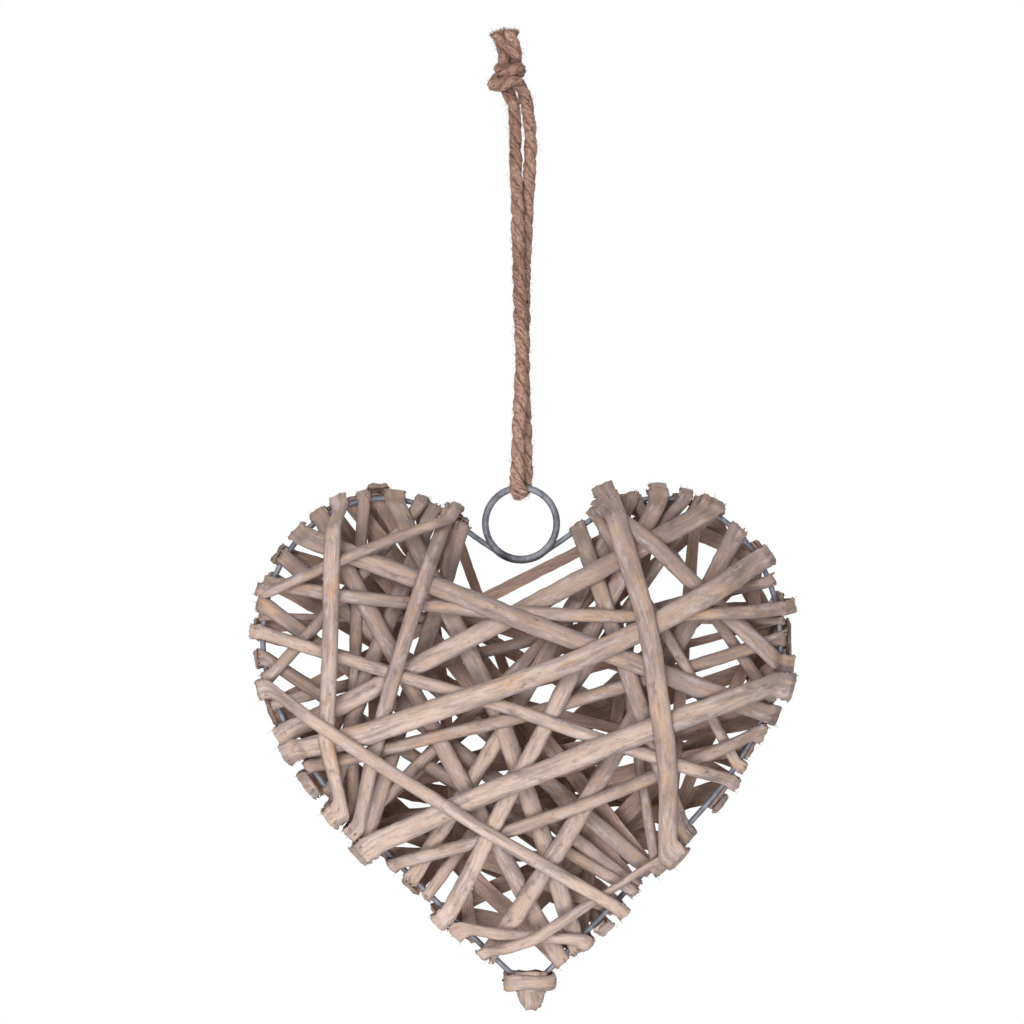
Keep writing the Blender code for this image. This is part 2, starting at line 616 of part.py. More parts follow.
def loop_knot():
    """The overhand knot and its two ends, drawn tight into one lump."""
    centre = Vector(KNOT_CENTRE)
    half_width, half_depth, half_height = (size / 2 - KNOT_MARGIN
                                           for size in (KNOT_WIDTH, KNOT_DEPTH, KNOT_HEIGHT))
    turns = []
    for k in range(KNOT_STEPS + 1):
        t = 2 * math.pi * k / KNOT_STEPS
        turns.append(centre + Vector(((math.sin(t) + 2 * math.sin(2 * t)) / 3 * half_width,
                                      -math.sin(3 * t) * half_depth,
                                      (math.cos(t) - 2 * math.cos(2 * t)) / 3 * half_height)))
    tail_top = KNOT_TOP - TWINE / 2
    low = LOOP_TOP + GAP + TWINE / 2
    strand_left = [(-0.0026, 0.0, low), (-0.0040, 0.0, 0.0085), (-0.0060, -0.0010, 0.0120)]
    strand_right = [(0.0022, 0.0, low), (0.0006, 0.0, 0.0085), (-0.0020, 0.0010, 0.0120)]
    tail_left = [centre, (-0.0085, -0.0008, 0.0215), (-0.0092, -0.0012, tail_top)]
    tail_right = [centre, (-0.0050, 0.0010, 0.0220), (-0.0048, 0.0014, tail_top - 0.0012)]
    lines = [(turns, TURN_RADIUS), (strand_left, STRAND_RADIUS), (strand_right, STRAND_RADIUS),
             (tail_left, TAIL_RADIUS), (tail_right, TAIL_RADIUS)]
    shape = bmesh.new()
    for points, radius in lines:
        rings = thick_line(points, radius)
        made = [[shape.verts.new(point) for point in ring] for ring in rings]
        for first, second in zip(made, made[1:]):
            for k in range(len(first)):
                following = (k + 1) % len(first)
                shape.faces.new((first[k], first[following], second[following], second[k]))
        shape.faces.new(list(reversed(made[0])))
        shape.faces.new(made[-1])
    bmesh.ops.recalc_face_normals(shape, faces=shape.faces)
    mesh = bpy.data.meshes.new("loop_knot")
    shape.to_mesh(mesh)
    shape.free()
    knot = add_object("loop_knot", mesh, JUTE)
    skin = knot.modifiers.new("Skin", "REMESH")
    skin.mode = "VOXEL"
    skin.voxel_size = KNOT_VOXEL
    thinner = knot.modifiers.new("Fewer faces", "DECIMATE")
    thinner.ratio = KNOT_KEEP


def main():
    clear_scene()
    work = Work()
    wire_frame(work.outline)
    hanging_ring()
    willow_strips(work)
    tip_binding(work.outline)
    tip_strip(work.outline)
    length = jute_loop()
    loop_knot()
    print(f"loop length {length:.4f} m, frame wire length {work.outline.length:.4f} m")


main()
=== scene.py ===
"""Looks of a hanging willow heart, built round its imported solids.

Laid out as a Blender add-on: each operator makes one group of pieces, and main() makes them
all. Metres, +Z up, front towards -Y, the origin at the hanging point under the loop's knot.
"""

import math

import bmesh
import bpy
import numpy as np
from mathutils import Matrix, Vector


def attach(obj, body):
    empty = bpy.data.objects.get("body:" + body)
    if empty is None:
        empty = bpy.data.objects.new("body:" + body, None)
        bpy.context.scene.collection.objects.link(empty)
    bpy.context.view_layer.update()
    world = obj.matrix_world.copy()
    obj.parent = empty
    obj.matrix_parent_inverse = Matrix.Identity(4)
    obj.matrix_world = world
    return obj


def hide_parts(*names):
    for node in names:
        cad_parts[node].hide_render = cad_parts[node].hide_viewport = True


bl_info = {
    "name": "Willow heart",
    "version": (1, 0, 0),
    "blender": (4, 5, 0),
    "location": "3D View > Sidebar > Willow heart",
    "description": "Split willow strips, galvanised wire and jute twine of a hanging heart",
    "category": "Object",
}

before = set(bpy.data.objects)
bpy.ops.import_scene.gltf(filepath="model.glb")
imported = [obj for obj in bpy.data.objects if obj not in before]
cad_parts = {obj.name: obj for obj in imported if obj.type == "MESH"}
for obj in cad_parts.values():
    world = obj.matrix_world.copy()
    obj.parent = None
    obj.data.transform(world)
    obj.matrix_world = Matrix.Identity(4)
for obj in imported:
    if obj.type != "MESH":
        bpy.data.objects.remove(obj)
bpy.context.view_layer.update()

# Clearance left between pieces that touch
GAP = 0.0003

# Frame wire: the heart's outline, as the wire's centre line
HEART_WIDTH = 0.195
HEART_DROP = 0.175          # from the ring's centre down to the point
FRAME_WIRE = 0.0020         # diameter
HEART_LEAN = 0.0030         # the point hangs this far to the right of the ring
HUG_FROM, HUG_TO = -64, -38     # the wire follows the ring's underside between these angles
# Right half of the outline: shares of the half width and of the drop
HEART_SHAPE = ((0.225, -0.010), (0.37, 0.037), (0.575, 0.053), (0.78, 0.008), (0.94, -0.100),
               (1.0, -0.245), (0.952, -0.385), (0.80, -0.540), (0.533, -0.708), (0.260, -0.862),
               (0.035, -0.985))
HEART_CURVE_STEPS = 40      # between two points of the shape
LINE_STEPS = 1280           # samples round the frame
# Ring in the notch
RING_DIAMETER = 0.0294      # outside
RING_WIRE = 0.0025
LOOP_DROP = 0.1566          # from the hanging point down to the ring's centre
HUG = RING_DIAMETER / 2 + GAP + FRAME_WIRE / 2      # radius at which the frame wire follows it

# Jute loop: the doubled twine's own route in millimetres, down in front and up behind the ring
ROUTE_CURVE_STEPS = 12      # between two points of the route
ROUTE_DOWN = ((-2.7, -0.3, 2.4), (-2.5, -0.3, -2.0), (-2.2, -0.3, -8.0), (-2.1, -0.3, -16.0),
              (-2.0, -0.6, -24.0), (-1.5, -1.4, -34.5), (-1.1, -1.9, -50.0), (-0.5, -2.2, -72.0),
              (0.2, -2.3, -95.0), (-0.6, -2.2, -115.7), (-1.3, -2.4, -128.5), (-1.5, -3.2, -137.5))
ROUTE_UP = ((2.2, 3.2, -137.5), (1.9, 2.4, -128.5), (1.5, 2.1, -115.7), (0.9, 2.3, -95.0),
            (1.1, 2.2, -72.0), (1.9, 1.9, -50.0), (2.6, 1.5, -34.5), (3.2, 0.7, -24.0),
            (3.6, 0.3, -16.0), (3.4, 0.3, -8.0), (2.7, 0.3, -2.0), (2.3, 0.3, 2.4))
BEND_STEPS = 8              # round the ring's wire
# Willow strips: half-round splits
STRIP_THICKNESS = 0.0018    # in the open
FOLD_THICKNESS = 0.0011     # crushed where it turns over the wire
SLANT_SHARE = 0.25          # of a run, over which its slanted end turns square
FOLD_ANGLES = (45, 90, 135)     # sections round a fold, from the front to the back
HOOK_ANGLES = (135, 90, 45)     # sections round a strip's first end
SUPPORT_STEP = 0.0030       # spacing of the places where a strip may rest on the pile
END_STEPS = (0.0012, 0.0028, 0.0050)    # closer places near the wire
BEND_APART = 0.0120         # bends nearer each other than this become one
FLATTEST_BEND = 0.02        # as a change of slope
CELL = 0.0006               # pile map's cell
REACH = 0.124               # half size of the pile map
SIDE_MARGIN = 1.03          # a strip is laid on the map this much wider than it is

# Every strip's front run, from the first laid to the last: the two places where it meets
# the frame, in thousandths of the way round from the notch, clockwise as seen from the
# front; its width and its sideways bow in millimetres
LACING = (
    (789, 213, 3.0, 0.0), (188, 735, 4.5, 0.0), (83, 262, 4.5, 0.0), (797, 406, 6.0, 0.0),
    (828, 392, 6.2, 0.0), (60, 387, 4.2, 0.0), (582, 122, 4.5, 0.0), (764, 409, 4.8, 1.0),
    (891, 648, 4.8, 1.8), (113, 644, 4.6, 0.0), (597, 78, 6.2, 1.5), (934, 668, 6.2, 2.1),
    (750, 926, 4.6, 0.8), (955, 635, 6.2, 0.0), (862, 471, 6.6, 0.0), (909, 457, 7.0, -5.6),
    (151, 530, 7.0, -2.8), (224, 691, 5.0, -1.7), (56, 308, 4.2, -1.0), (553, 452, 4.6, 0.5),
    (533, 384, 4.6, 5.3), (610, 284, 5.0, 2.8), (98, 566, 6.4, 0.0), (44, 362, 6.4, 0.5),
    (716, 130, 7.4, 0.0), (63, 240, 6.4, -2.4), (810, 206, 5.0, 5.5), (780, 319, 5.0, -1.5),
    (845, 271, 7.4, -0.6), (944, 643, 5.6, 2.3), (805, 946, 4.0, -1.0), (704, 174, 8.2, 8.0),
    (876, 658, 6.0, 7.6), (252, 629, 8.2, 2.8), (745, 423, 5.0, 1.4), (67, 376, 7.8, -5.8))

# Where the back runs may end, and how freely they leave the mirrored direction
NOTCH_KEPT_FREE = 0.046     # share of the frame either side of the notch
TIP_KEPT_FREE = 0.030       # share of the frame either side of the point
TURN_FREEDOM = 26           # degrees
STEEPEST_END = math.cos(math.radians(64))       # from square across the wire
SHORTEST_RUN = 0.25         # of the heart's width
TRIED_EVERY = 3             # frame samples
TURN_PRICE = 0.05           # layers' worth of each degree off that direction
CLIMB_PRICE = 0.8           # of each layer that the run has to climb over
# Wrapping at the point: a band round the wires over a strip folded under them
BAND_HEIGHT = 0.0062
BAND_WALL = 0.0018
BAND_TOP = 0.0056           # above the frame wire's point
BAND_SQUARENESS = 0.7       # 1 is round in plan, 0 is square
BAND_WAVE = 0.0004
TIP_FLARE = 1.06            # the wires' half distance at a height above their point
TIP_STRIP_WIDTH = 0.0124
TIP_STRIP_THICKNESS = 0.0020
TIP_STRIP_DROP = 0.0082     # the fold hangs this far below the wire's point
TIP_STRIP_RISE = 0.0006     # its two ends stand this far above the band
TIP_STRIP_SHIFT = 0.0006    # to the right

# Fine shape of a strip
LINE_CUT = 0.00025          # spacing of the line that a strip is rounded on
RUN_ROUNDING = 0.0016       # how softly a run bends over what lies under it
FOLD_ROUNDING = 0.0004      # how softly it turns over the wire
RUN_RINGS = 4               # one ring of points for each this many cuts in a run
FOLD_RINGS = 2              # and at a fold
DOME_POINTS = 13            # over a split's outside
FLAT_POINTS = 5             # across its inside
FLAT_EDGE = 0.93            # of the half width, out to where the flat inside ends
SCAR_SPACING = 0.062        # between the buds' scars on a willow rod
SCAR_REACH = 0.0022         # half length of the swelling round a scar
SPLINTERS = 24              # on each strip
SPLINTER_LENGTHS = (0.0008, 0.0026)
SPLINTER_RADIUS = 0.00012
FLAKES = 22                 # cracked ends of the outer fibres, on each strip
FLAKE_LENGTHS = (0.0009, 0.0023)
FLAKE_RADIUS = 0.00050
HAIR_STEPS = (-0.08, 0.25, 0.5, 0.75, 1.0)      # of a fibre's length; its root is sunk in
HAIR_SIDES = (0.0, 2.1, 4.2)        # corners round a fibre, in radians
MAP_SCALE = 100             # the lengthwise map is in centimetres

# Wires: a little fuller than the faceted solids
FRAME_FULLNESS = 1.05
RING_FULLNESS = 1.04
WIRE_EACH = 4               # outline samples to a ring of points on the frame wire
WIRE_BEHIND = 0.00222       # the frame wire behind the ring, where it follows it
WIRE_TUCKED = 0.0018        # and closer to the ring's centre than in the solids
BENDS_BEHIND = 0.0115       # length over which either leg of the wire comes forward again
BEND_PASSES = 8             # of rounding, where it starts to
WELD_BELOW = 0.0005         # the weld below the ring wire's middle
WELD_BACK = 0.55            # and behind it, as a share of the way to the frame wire
WELD_BEAD = 0.0010          # radius of a bead
WELD_UNEVEN = 0.00003
WELD_VOXEL = 0.00018
# Each bead's place in degrees round the ring, and its size
WELD_BEADS = ((-50, 1.1), (-59, 0.9), (-68, 1.0), (-77, 0.85), (-86, 0.95), (-95, 1.2),
              (-104, 1.0), (-113, 0.9), (-122, 1.1), (-130, 0.95))
WELD_BURN = -114            # where the weld has burnt the zinc, in degrees round the ring

# Fine shape at the point
POINT_TAPER = 0.46          # of the folded strip, down to its fold
POINT_ROUNDING = 0.0085     # lift at the fold's two corners
POINT_RIPPLE = 0.00035
BAND_FROM, BAND_TO, BAND_EACH = -235, 165, 8    # the binding, in degrees round the wires
BAND_LAP = 0.00045          # its end lies this far outside its start
BAND_CLIMB = 0.0007         # in 200 degrees
BAND_THINNED = 0.62         # of its wall in the solids

# Twine: two plies, laid left-handed
PLY_PITCH = 0.0165          # one whole turn of both plies
TWINE_POINTS = 32           # round the twine
TWINE_RING = 0.0005         # spacing of its rings
PRESSED_TWINE = 0.0031      # through the twine where it lies on the ring
PRESSED_REACH = 0.0075      # half length of that place
FUZZ_LENGTH = 0.0027
FUZZ_RADIUS = 0.000075
KNOT_FUZZ, KNOT_FUZZ_LENGTH = 900, 0.0024       # on each strand of the knot
BRUSH_FIBRES, BRUSH_LENGTH = 420, 0.0019        # at each frayed end
BRUSH_RADIUS = 0.00011

# The knot's two strands, in millimetres, each from the loop to its short end
KNOT_LEFT = ((-2.7, -0.3, 1.4), (-4.4, 0.4, 5.0), (-6.2, 1.0, 9.0), (-7.0, 0.8, 13.0),
             (-6.4, 0.4, 17.0), (-6.2, 0.6, 20.5), (-7.4, 0.6, 24.5), (-8.9, 0.4, 28.2))
KNOT_RIGHT = ((2.3, 0.3, 1.4), (1.2, 0.6, 5.0), (-0.4, -0.6, 8.4), (-3.4, -3.0, 9.6),
              (-7.2, -3.2, 8.4), (-10.2, -0.8, 8.6), (-9.2, 2.6, 11.0), (-5.0, 3.6, 13.0),
              (-1.0, 2.2, 14.0), (-0.5, -0.8, 14.4), (-3.2, -3.0, 14.0), (-6.6, -2.4, 13.4),
              (-8.0, 0.4, 14.6), (-5.6, 2.6, 17.0), (-2.2, 1.8, 18.6), (-1.9, -0.4, 20.6),
              (-3.2, -1.0, 23.5), (-3.7, -0.6, 26.5), (-3.6, -0.4, 28.6))

# Studio
CAMERA_AT = (-0.0034, -1.0722, -0.1523)
CAMERA_LENS = 100.0         # millimetres, on a sensor 36 wide
FLOOR_HEIGHT = -1.5
FLOOR_RADIUS = 8.0
HEART_MIDDLE = (0.0, 0.0, -0.235)
# Each lamp's name, its setting, its place and its size
LAMPS = (("key_light", "key", (-0.55, -1.15, 0.22), 0.55),
         ("fill_light", "fill", (0.05, -0.80, -0.75), 0.5),
         ("back_light", "back", (0.45, 1.25, 0.30), 0.8))
WHITE = (1.0, 1.0, 1.0, 1.0)
GREY = (0.5, 0.5, 0.5, 1.0)


def unit(rows):
    """Each row's direction."""
    return rows / np.maximum(np.linalg.norm(rows, axis=1), 1e-9)[:, None]


def metres(route):
    """A route that is given in millimetres."""
    return [tuple(0.001 * c for c in point) for point in route]


def smooth_curve(points, steps, closed=False):
    """Centripetal Catmull-Rom curve through a list of points."""
    points = np.array(points, dtype=float)
    if closed:
        padded = np.vstack([points[-1:], points, points[:2]])
    else:
        padded = np.vstack([2 * points[0] - points[1], points, 2 * points[-1] - points[-2]])
    fine = []
    for k in range(len(padded) - 3):
        p0, p1, p2, p3 = padded[k:k + 4]
        t1 = np.linalg.norm(p1 - p0) ** 0.5
        t2 = t1 + np.linalg.norm(p2 - p1) ** 0.5
        t3 = t2 + np.linalg.norm(p3 - p2) ** 0.5
        for t in np.linspace(t1, t2, steps, endpoint=False):
            a1 = (t1 - t) / t1 * p0 + t / t1 * p1
            a2 = (t2 - t) / (t2 - t1) * p1 + (t - t1) / (t2 - t1) * p2
            a3 = (t3 - t) / (t3 - t2) * p2 + (t - t2) / (t3 - t2) * p3
            b1 = (t2 - t) / t2 * a1 + t / t2 * a2
            b2 = (t3 - t) / (t3 - t1) * a2 + (t - t1) / (t3 - t1) * a3
            fine.append((t2 - t) / (t2 - t1) * b1 + (t - t1) / (t2 - t1) * b2)
    fine.append(points[0] if closed else points[-1])
    return np.array(fine)


def evenly(fine, count, closed=False):
    """The same curve as evenly spaced points, and its length."""
    length = np.concatenate([[0.0], np.cumsum(np.linalg.norm(np.diff(fine, axis=0), axis=1))])
    wanted = np.linspace(0.0, length[-1], count, endpoint=not closed)
    columns = [np.interp(wanted, length, fine[:, k]) for k in range(fine.shape[1])]
    return np.stack(columns, axis=1), length[-1]


def heading(first, last):
    """The direction from one point to another."""
    return (last - first) / np.linalg.norm(last - first)


class Outline:
    """The frame wire's centre line in the plane, clockwise from the notch."""

    def __init__(self):
        half = [(HUG * math.cos(math.radians(angle)), HUG * math.sin(math.radians(angle)))
                for angle in (HUG_FROM, HUG_TO)]
        half += [(x * HEART_WIDTH / 2, z * HEART_DROP) for x, z in HEART_SHAPE]
        points = [(0.0, -HUG)] + half + [(0.0, -HEART_DROP)] + [(-x, z) for x, z in reversed(half)]
        leant = []
        for x, z in points:
            below_ring = z < -HUG - FRAME_WIRE / 2
            leant.append((x + (HEART_LEAN * (z / HEART_DROP) ** 2 if below_ring else 0.0), z))
        fine = smooth_curve(leant, HEART_CURVE_STEPS, closed=True)
        self.points, self.length = evenly(fine, LINE_STEPS, closed=True)
        ahead = np.roll(self.points, -3, axis=0) - np.roll(self.points, 3, axis=0)
        self.along = unit(ahead)
        self.out = np.stack([-self.along[:, 1], self.along[:, 0]], axis=1)
        self.step = self.length / LINE_STEPS

    def index(self, thousandths):
        return int(round(thousandths / 1000 * LINE_STEPS)) % LINE_STEPS


class Pile:
    """How far the work laid so far stands out from the frame's plane, on one side."""

    def __init__(self, outline):
        self.size = int(2 * REACH / CELL)
        self.height = np.zeros((self.size, self.size))
        self.lay(outline.points, np.full(LINE_STEPS, FRAME_WIRE / 2))
        turn = np.linspace(0, 2 * math.pi, 400)
        for radius in np.linspace(RING_DIAMETER / 2 - RING_WIRE, RING_DIAMETER / 2, 5):
            circle = np.stack([np.cos(turn), np.sin(turn)], axis=1) * radius
            self.lay(circle, np.full(len(turn), RING_WIRE / 2))

    def cells(self, points):
        shifted = np.stack([points[:, 0] + REACH, points[:, 1] + REACH + HEART_DROP / 2], axis=1)
        return np.clip((shifted / CELL).astype(int), 1, self.size - 2).T

    def lay(self, points, heights):
        columns, rows = self.cells(points)
        np.maximum.at(self.height, (columns, rows), heights)

    def spread(self):
        """Each cell's highest neighbour, so that a reading errs on the clear side."""
        best = self.height.copy()
        for across in (-1, 0, 1):
            for up in (-1, 0, 1):
                best = np.maximum(best, np.roll(self.height, (across, up), axis=(0, 1)))
        return best


def taut(places, needs):
    """A band pulled tight over the needs: the corner places that hold it up."""
    kept = []
    for here in zip(places, needs):
        while len(kept) >= 2:
            (x0, y0), (x1, y1) = kept[-2], kept[-1]
            if (y1 - y0) * (here[0] - x0) <= (here[1] - y0) * (x1 - x0):
                kept.pop()
            else:
                break
        kept.append(here)
    return kept


def fewer(corners, apart):
    """Join each pair of close bends into the one bend that lies outside both."""
    corners = list(corners)
    k = 1
    while k < len(corners) - 2:
        (x0, y0), (x1, y1), (x2, y2), (x3, y3) = corners[k - 1:k + 3]
        if x2 - x1 < apart:
            before, after = (y1 - y0) / (x1 - x0), (y3 - y2) / (x3 - x2)
            x = (y2 - y1 + before * x1 - after * x2) / max(before - after, FLATTEST_BEND)
            x = min(max(x, x1), x2)
            corners[k:k + 2] = [(x, max(y1 + before * (x - x1), y2 + after * (x - x2)))]
        else:
            k += 1
    return corners


class Work:
    """The heart being wound: its outline, the pile on each side and the folds on the wire."""

    def __init__(self):
        self.outline = Outline()
        self.piles = {-1: Pile(self.outline), 1: Pile(self.outline)}
        self.edge = np.full(LINE_STEPS, FRAME_WIRE / 2)

    def near(self, index, half):
        """Frame samples beside an index, and how far each lies outside its tangent."""
        count = int(math.ceil((half + CELL) / self.outline.step))
        beside = np.arange(index - count, index + count + 1) % LINE_STEPS
        offset = (self.outline.points[beside] - self.outline.points[index]) @ self.outline.out[index]
        return beside, offset

    def half_length(self, index, direction, width):
        """Half of the stretch of wire that a strip covers as it crosses it on the slant."""
        square = abs(float(direction @ self.outline.out[index]))
        return width / 2 / max(square, STEEPEST_END)

    def fold_patch(self, index, half, reach):
        """Points of the plane that a fold covers, from the wire outwards."""
        across = np.linspace(-1, 1, int(2 * half / (CELL / 2)) + 2) * half
        outward = np.arange(0.0, reach + CELL / 2, CELL / 2)
        grid = (self.outline.points[index] + across[:, None, None] * self.outline.along[index]
                + outward[None, :, None] * self.outline.out[index])
        return grid.reshape(-1, 2)

    def seat(self, index, half):
        """Radii at which a new fold clears the work: at the front, the side and the back."""
        beside, offset = self.near(index, half)
        side = float(np.max(self.edge[beside] + offset)) + GAP
        patch = self.fold_patch(index, half, side + FOLD_THICKNESS)
        radii = {}
        for face, pile in self.piles.items():
            columns, rows = pile.cells(patch)
            radii[face] = float(pile.spread()[columns, rows].max()) + GAP
        return radii[-1], side, radii[1]

    def lay_fold(self, index, half, radii, faces):
        """Add a fold to the wire's own build-up and to the piles that it shows on."""
        front, side, back = radii
        beside, offset = self.near(index, half)
        self.edge[beside] = np.maximum(self.edge[beside], side + FOLD_THICKNESS - offset)
        patch = self.fold_patch(index, half, side + FOLD_THICKNESS)
        for face, radius in ((-1, front), (1, back)):
            if face in faces:
                self.piles[face].lay(patch, np.full(len(patch), radius + FOLD_THICKNESS))

    def run(self, face, start, end, width, bow, radii):
        """Sections of a run across one side, from the wire at start to the wire at end."""
        line = self.outline
        first, last = line.points[start], line.points[end]
        span = last - first
        distance = float(np.linalg.norm(span))
        beside = np.array([span[1], -span[0]]) / distance
        halves = []
        for index in (start, end):
            slant = float(line.along[index] @ beside)
            along = line.along[index] if slant > 0 else -line.along[index]
            square = max(abs(slant), STEEPEST_END)
            halves.append(along * width / 2 / square)

        def place(share):
            share = np.asarray(share)[..., None]
            return first + span * share + beside * bow * 4 * share * (1 - share)

        def across(share):
            """Half of the section: slanted along the wire at the ends, square between."""
            share = np.asarray(share)[..., None]
            square = beside * width / 2
            lead = np.clip(1 - share / SLANT_SHARE, 0, 1)
            tail = np.clip(1 - (1 - share) / SLANT_SHARE, 0, 1)
            return square + lead * (halves[0] - square) + tail * (halves[1] - square)

        shares = np.linspace(0, 1, int(distance / (CELL / 2)))
        widest = 2 * max(np.linalg.norm(half) for half in halves)
        sides = np.linspace(-SIDE_MARGIN, SIDE_MARGIN, int(widest / (CELL / 2)) + 2)
        grid = place(shares)[:, None, :] + sides[None, :, None] * across(shares)[:, None, :]
        pile = self.piles[face]
        columns, rows = pile.cells(grid.reshape(-1, 2))
        needs = pile.spread()[columns, rows].reshape(len(shares), -1).max(axis=1) + GAP
        ends = np.array((0.0,) + END_STEPS) / distance
        steps = max(4, int(round(distance / SUPPORT_STEP)))
        inner = np.linspace(0, 1, steps + 1)
        inner = inner[(inner > ends[-1] * 1.1) & (inner < 1 - ends[-1] * 1.1)]
        marks = np.concatenate([ends, inner, 1 - ends[::-1]])
        held = []
        for k, mark in enumerate(marks):
            around = ((shares >= marks[max(k - 1, 0)] - 1e-6)
                      & (shares <= marks[min(k + 1, len(marks) - 1)] + 1e-6))
            held.append(float(needs[around].max()))
        held[0] = max(held[0], radii[0])
        held[-1] = max(held[-1], radii[1])
        corners = fewer(taut(marks, held), BEND_APART / distance)
        corner_shares = [c[0] for c in corners]
        corner_heights = [c[1] for c in corners]
        thick = [FOLD_THICKNESS] + [STRIP_THICKNESS] * (len(corners) - 2) + [FOLD_THICKNESS]
        tops = np.interp(shares, corner_shares, np.array(corner_heights) + np.array(thick))
        pile.lay(grid.reshape(-1, 2), np.repeat(tops, len(sides)))
        sections = []
        for share, height, depth in zip(corner_shares, corner_heights, thick):
            middle, side = place(share), across(share)
            sections.append((Vector((middle[0], face * height, middle[1])),
                             Vector((side[0], 0.0, side[1])),
                             Vector((0.0, face * depth, 0.0))))
        return sections

    def fold(self, index, half, radii, angles, first_side):
        """Sections round the wire; angle 0 is the front, 90 outside, 180 the back."""
        front, side, back = radii
        centre, out = self.outline.points[index], self.outline.out[index]
        along = self.outline.along[index] * half
        if Vector((along[0], 0.0, along[1])).dot(first_side) < 0:
            along = -along
        sections = []
        for angle in angles:
            turn = math.radians(angle)
            ends = front if angle < 90 else back
            radius = side + (ends - side) * abs(math.cos(turn))
            plane = centre + out * radius * math.sin(turn)
            radial = Vector((out[0] * math.sin(turn), -math.cos(turn), out[1] * math.sin(turn)))
            place = Vector((plane[0], -radius * math.cos(turn), plane[1]))
            sections.append((place, Vector((along[0], 0.0, along[1])), radial * FOLD_THICKNESS))
        return sections

    def next_end(self, start, arriving, width):
        """Where a back run goes from a fold: near the mirrored direction, on a bare place."""
        line = self.outline
        out = line.out[start]
        leaving = arriving - 2 * float(arriving @ out) * out
        rays = line.points - line.points[start]
        distance = np.linalg.norm(rays, axis=1)
        rays = rays / np.maximum(distance, CELL)[:, None]
        turned = np.degrees(np.arccos(np.clip(rays @ leaving, -1, 1)))
        square = np.abs(np.sum(rays * line.out, axis=1))
        share = np.arange(LINE_STEPS) / LINE_STEPS
        from_notch = np.minimum(share, 1 - share)
        crossing = line.points[:, 0] * line.points[start, 0] < 0
        rise = line.points[:, 1] - line.points[start, 1]
        run = line.points[:, 0] - line.points[start, 0]
        at_middle = line.points[start, 1] - line.points[start, 0] * rise / np.where(run == 0, 1, run)
        below = at_middle < -RING_DIAMETER / 2 - FRAME_WIRE - width
        allowed = ((turned < TURN_FREEDOM) & (square > STEEPEST_END)
                   & (distance > SHORTEST_RUN * HEART_WIDTH)
                   & (from_notch > NOTCH_KEPT_FREE) & (from_notch < 0.5 - TIP_KEPT_FREE)
                   & (~crossing | below))
        along_way = np.linspace(0.1, 0.9, 60)[:, None]
        best, cost = None, None
        for index in np.nonzero(allowed)[0][::TRIED_EVERY]:
            beside, offset = self.near(int(index), width / 2 / square[index])
            build_up = float(np.max(self.edge[beside] + offset)) / FOLD_THICKNESS
            way = line.points[start] + along_way * (line.points[index] - line.points[start])
            columns, rows = self.piles[1].cells(way)
            climb = float(self.piles[1].height[columns, rows].max()) / STRIP_THICKNESS
            price = build_up + CLIMB_PRICE * climb + TURN_PRICE * turned[index]
            if cost is None or price < cost:
                best, cost = int(index), price
        return best

    def hairpin(self, start, turn, width, bow):
        """One strip: over the wire, across the front, round the wire, back across behind."""
        line = self.outline
        start, turn = line.index(start), line.index(turn)
        way = heading(line.points[start], line.points[turn])
        half_start = self.half_length(start, way, width)
        half_turn = self.half_length(turn, way, width)
        seat_start = self.seat(start, half_start)
        seat_turn = self.seat(turn, half_turn)
        front = self.run(-1, start, turn, width, bow, (seat_start[0], seat_turn[0]))
        seat_start = (-front[0][0].y, seat_start[1], seat_start[2])
        self.lay_fold(start, half_start, seat_start, (-1, 1))
        last = self.next_end(turn, way, width)
        half_last = self.half_length(last, heading(line.points[turn], line.points[last]), width)
        seat_turn = (-front[-1][0].y, seat_turn[1], self.seat(turn, half_turn)[2])
        seat_last = self.seat(last, half_last)
        back = self.run(1, turn, last, width, 0.0, (seat_turn[2], seat_last[2]))
        seat_turn = (seat_turn[0], seat_turn[1], back[0][0].y)
        seat_last = (seat_last[0], seat_last[1], back[-1][0].y)
        self.lay_fold(turn, half_turn, seat_turn, (-1, 1))
        self.lay_fold(last, half_last, seat_last, (1,))
        hook = self.fold(start, half_start, seat_start, HOOK_ANGLES, front[0][1])
        bend = self.fold(turn, half_turn, seat_turn, FOLD_ANGLES, front[-1][1])
        if back[0][1].dot(bend[-1][1]) < 0:
            back = [(place, -side, depth) for place, side, depth in back]
        tail = self.fold(last, half_last, seat_last, HOOK_ANGLES[:2], back[-1][1])
        return hook, front, bend, back, tail


def wobble(places, spacing, rng, size):
    """A smooth random line: its value at each place, changing over about the spacing."""
    values = rng.uniform(-size, size, int(places.max() / spacing) + 3)
    whole = (places / spacing).astype(int)
    share = places / spacing - whole
    share = share * share * (3 - 2 * share)
    return values[whole] * (1 - share) + values[whole + 1] * share


def soften(lines, reach):
    """Each line's values, rounded over the reach."""
    count = int(3 * reach / LINE_CUT)
    weights = np.exp(-0.5 * (np.arange(-count, count + 1) * LINE_CUT / reach) ** 2)
    weights /= weights.sum()
    padded = np.pad(lines, ((count, count), (0, 0)), mode="edge")
    return np.stack([np.convolve(column, weights, mode="valid") for column in padded.T], axis=1)


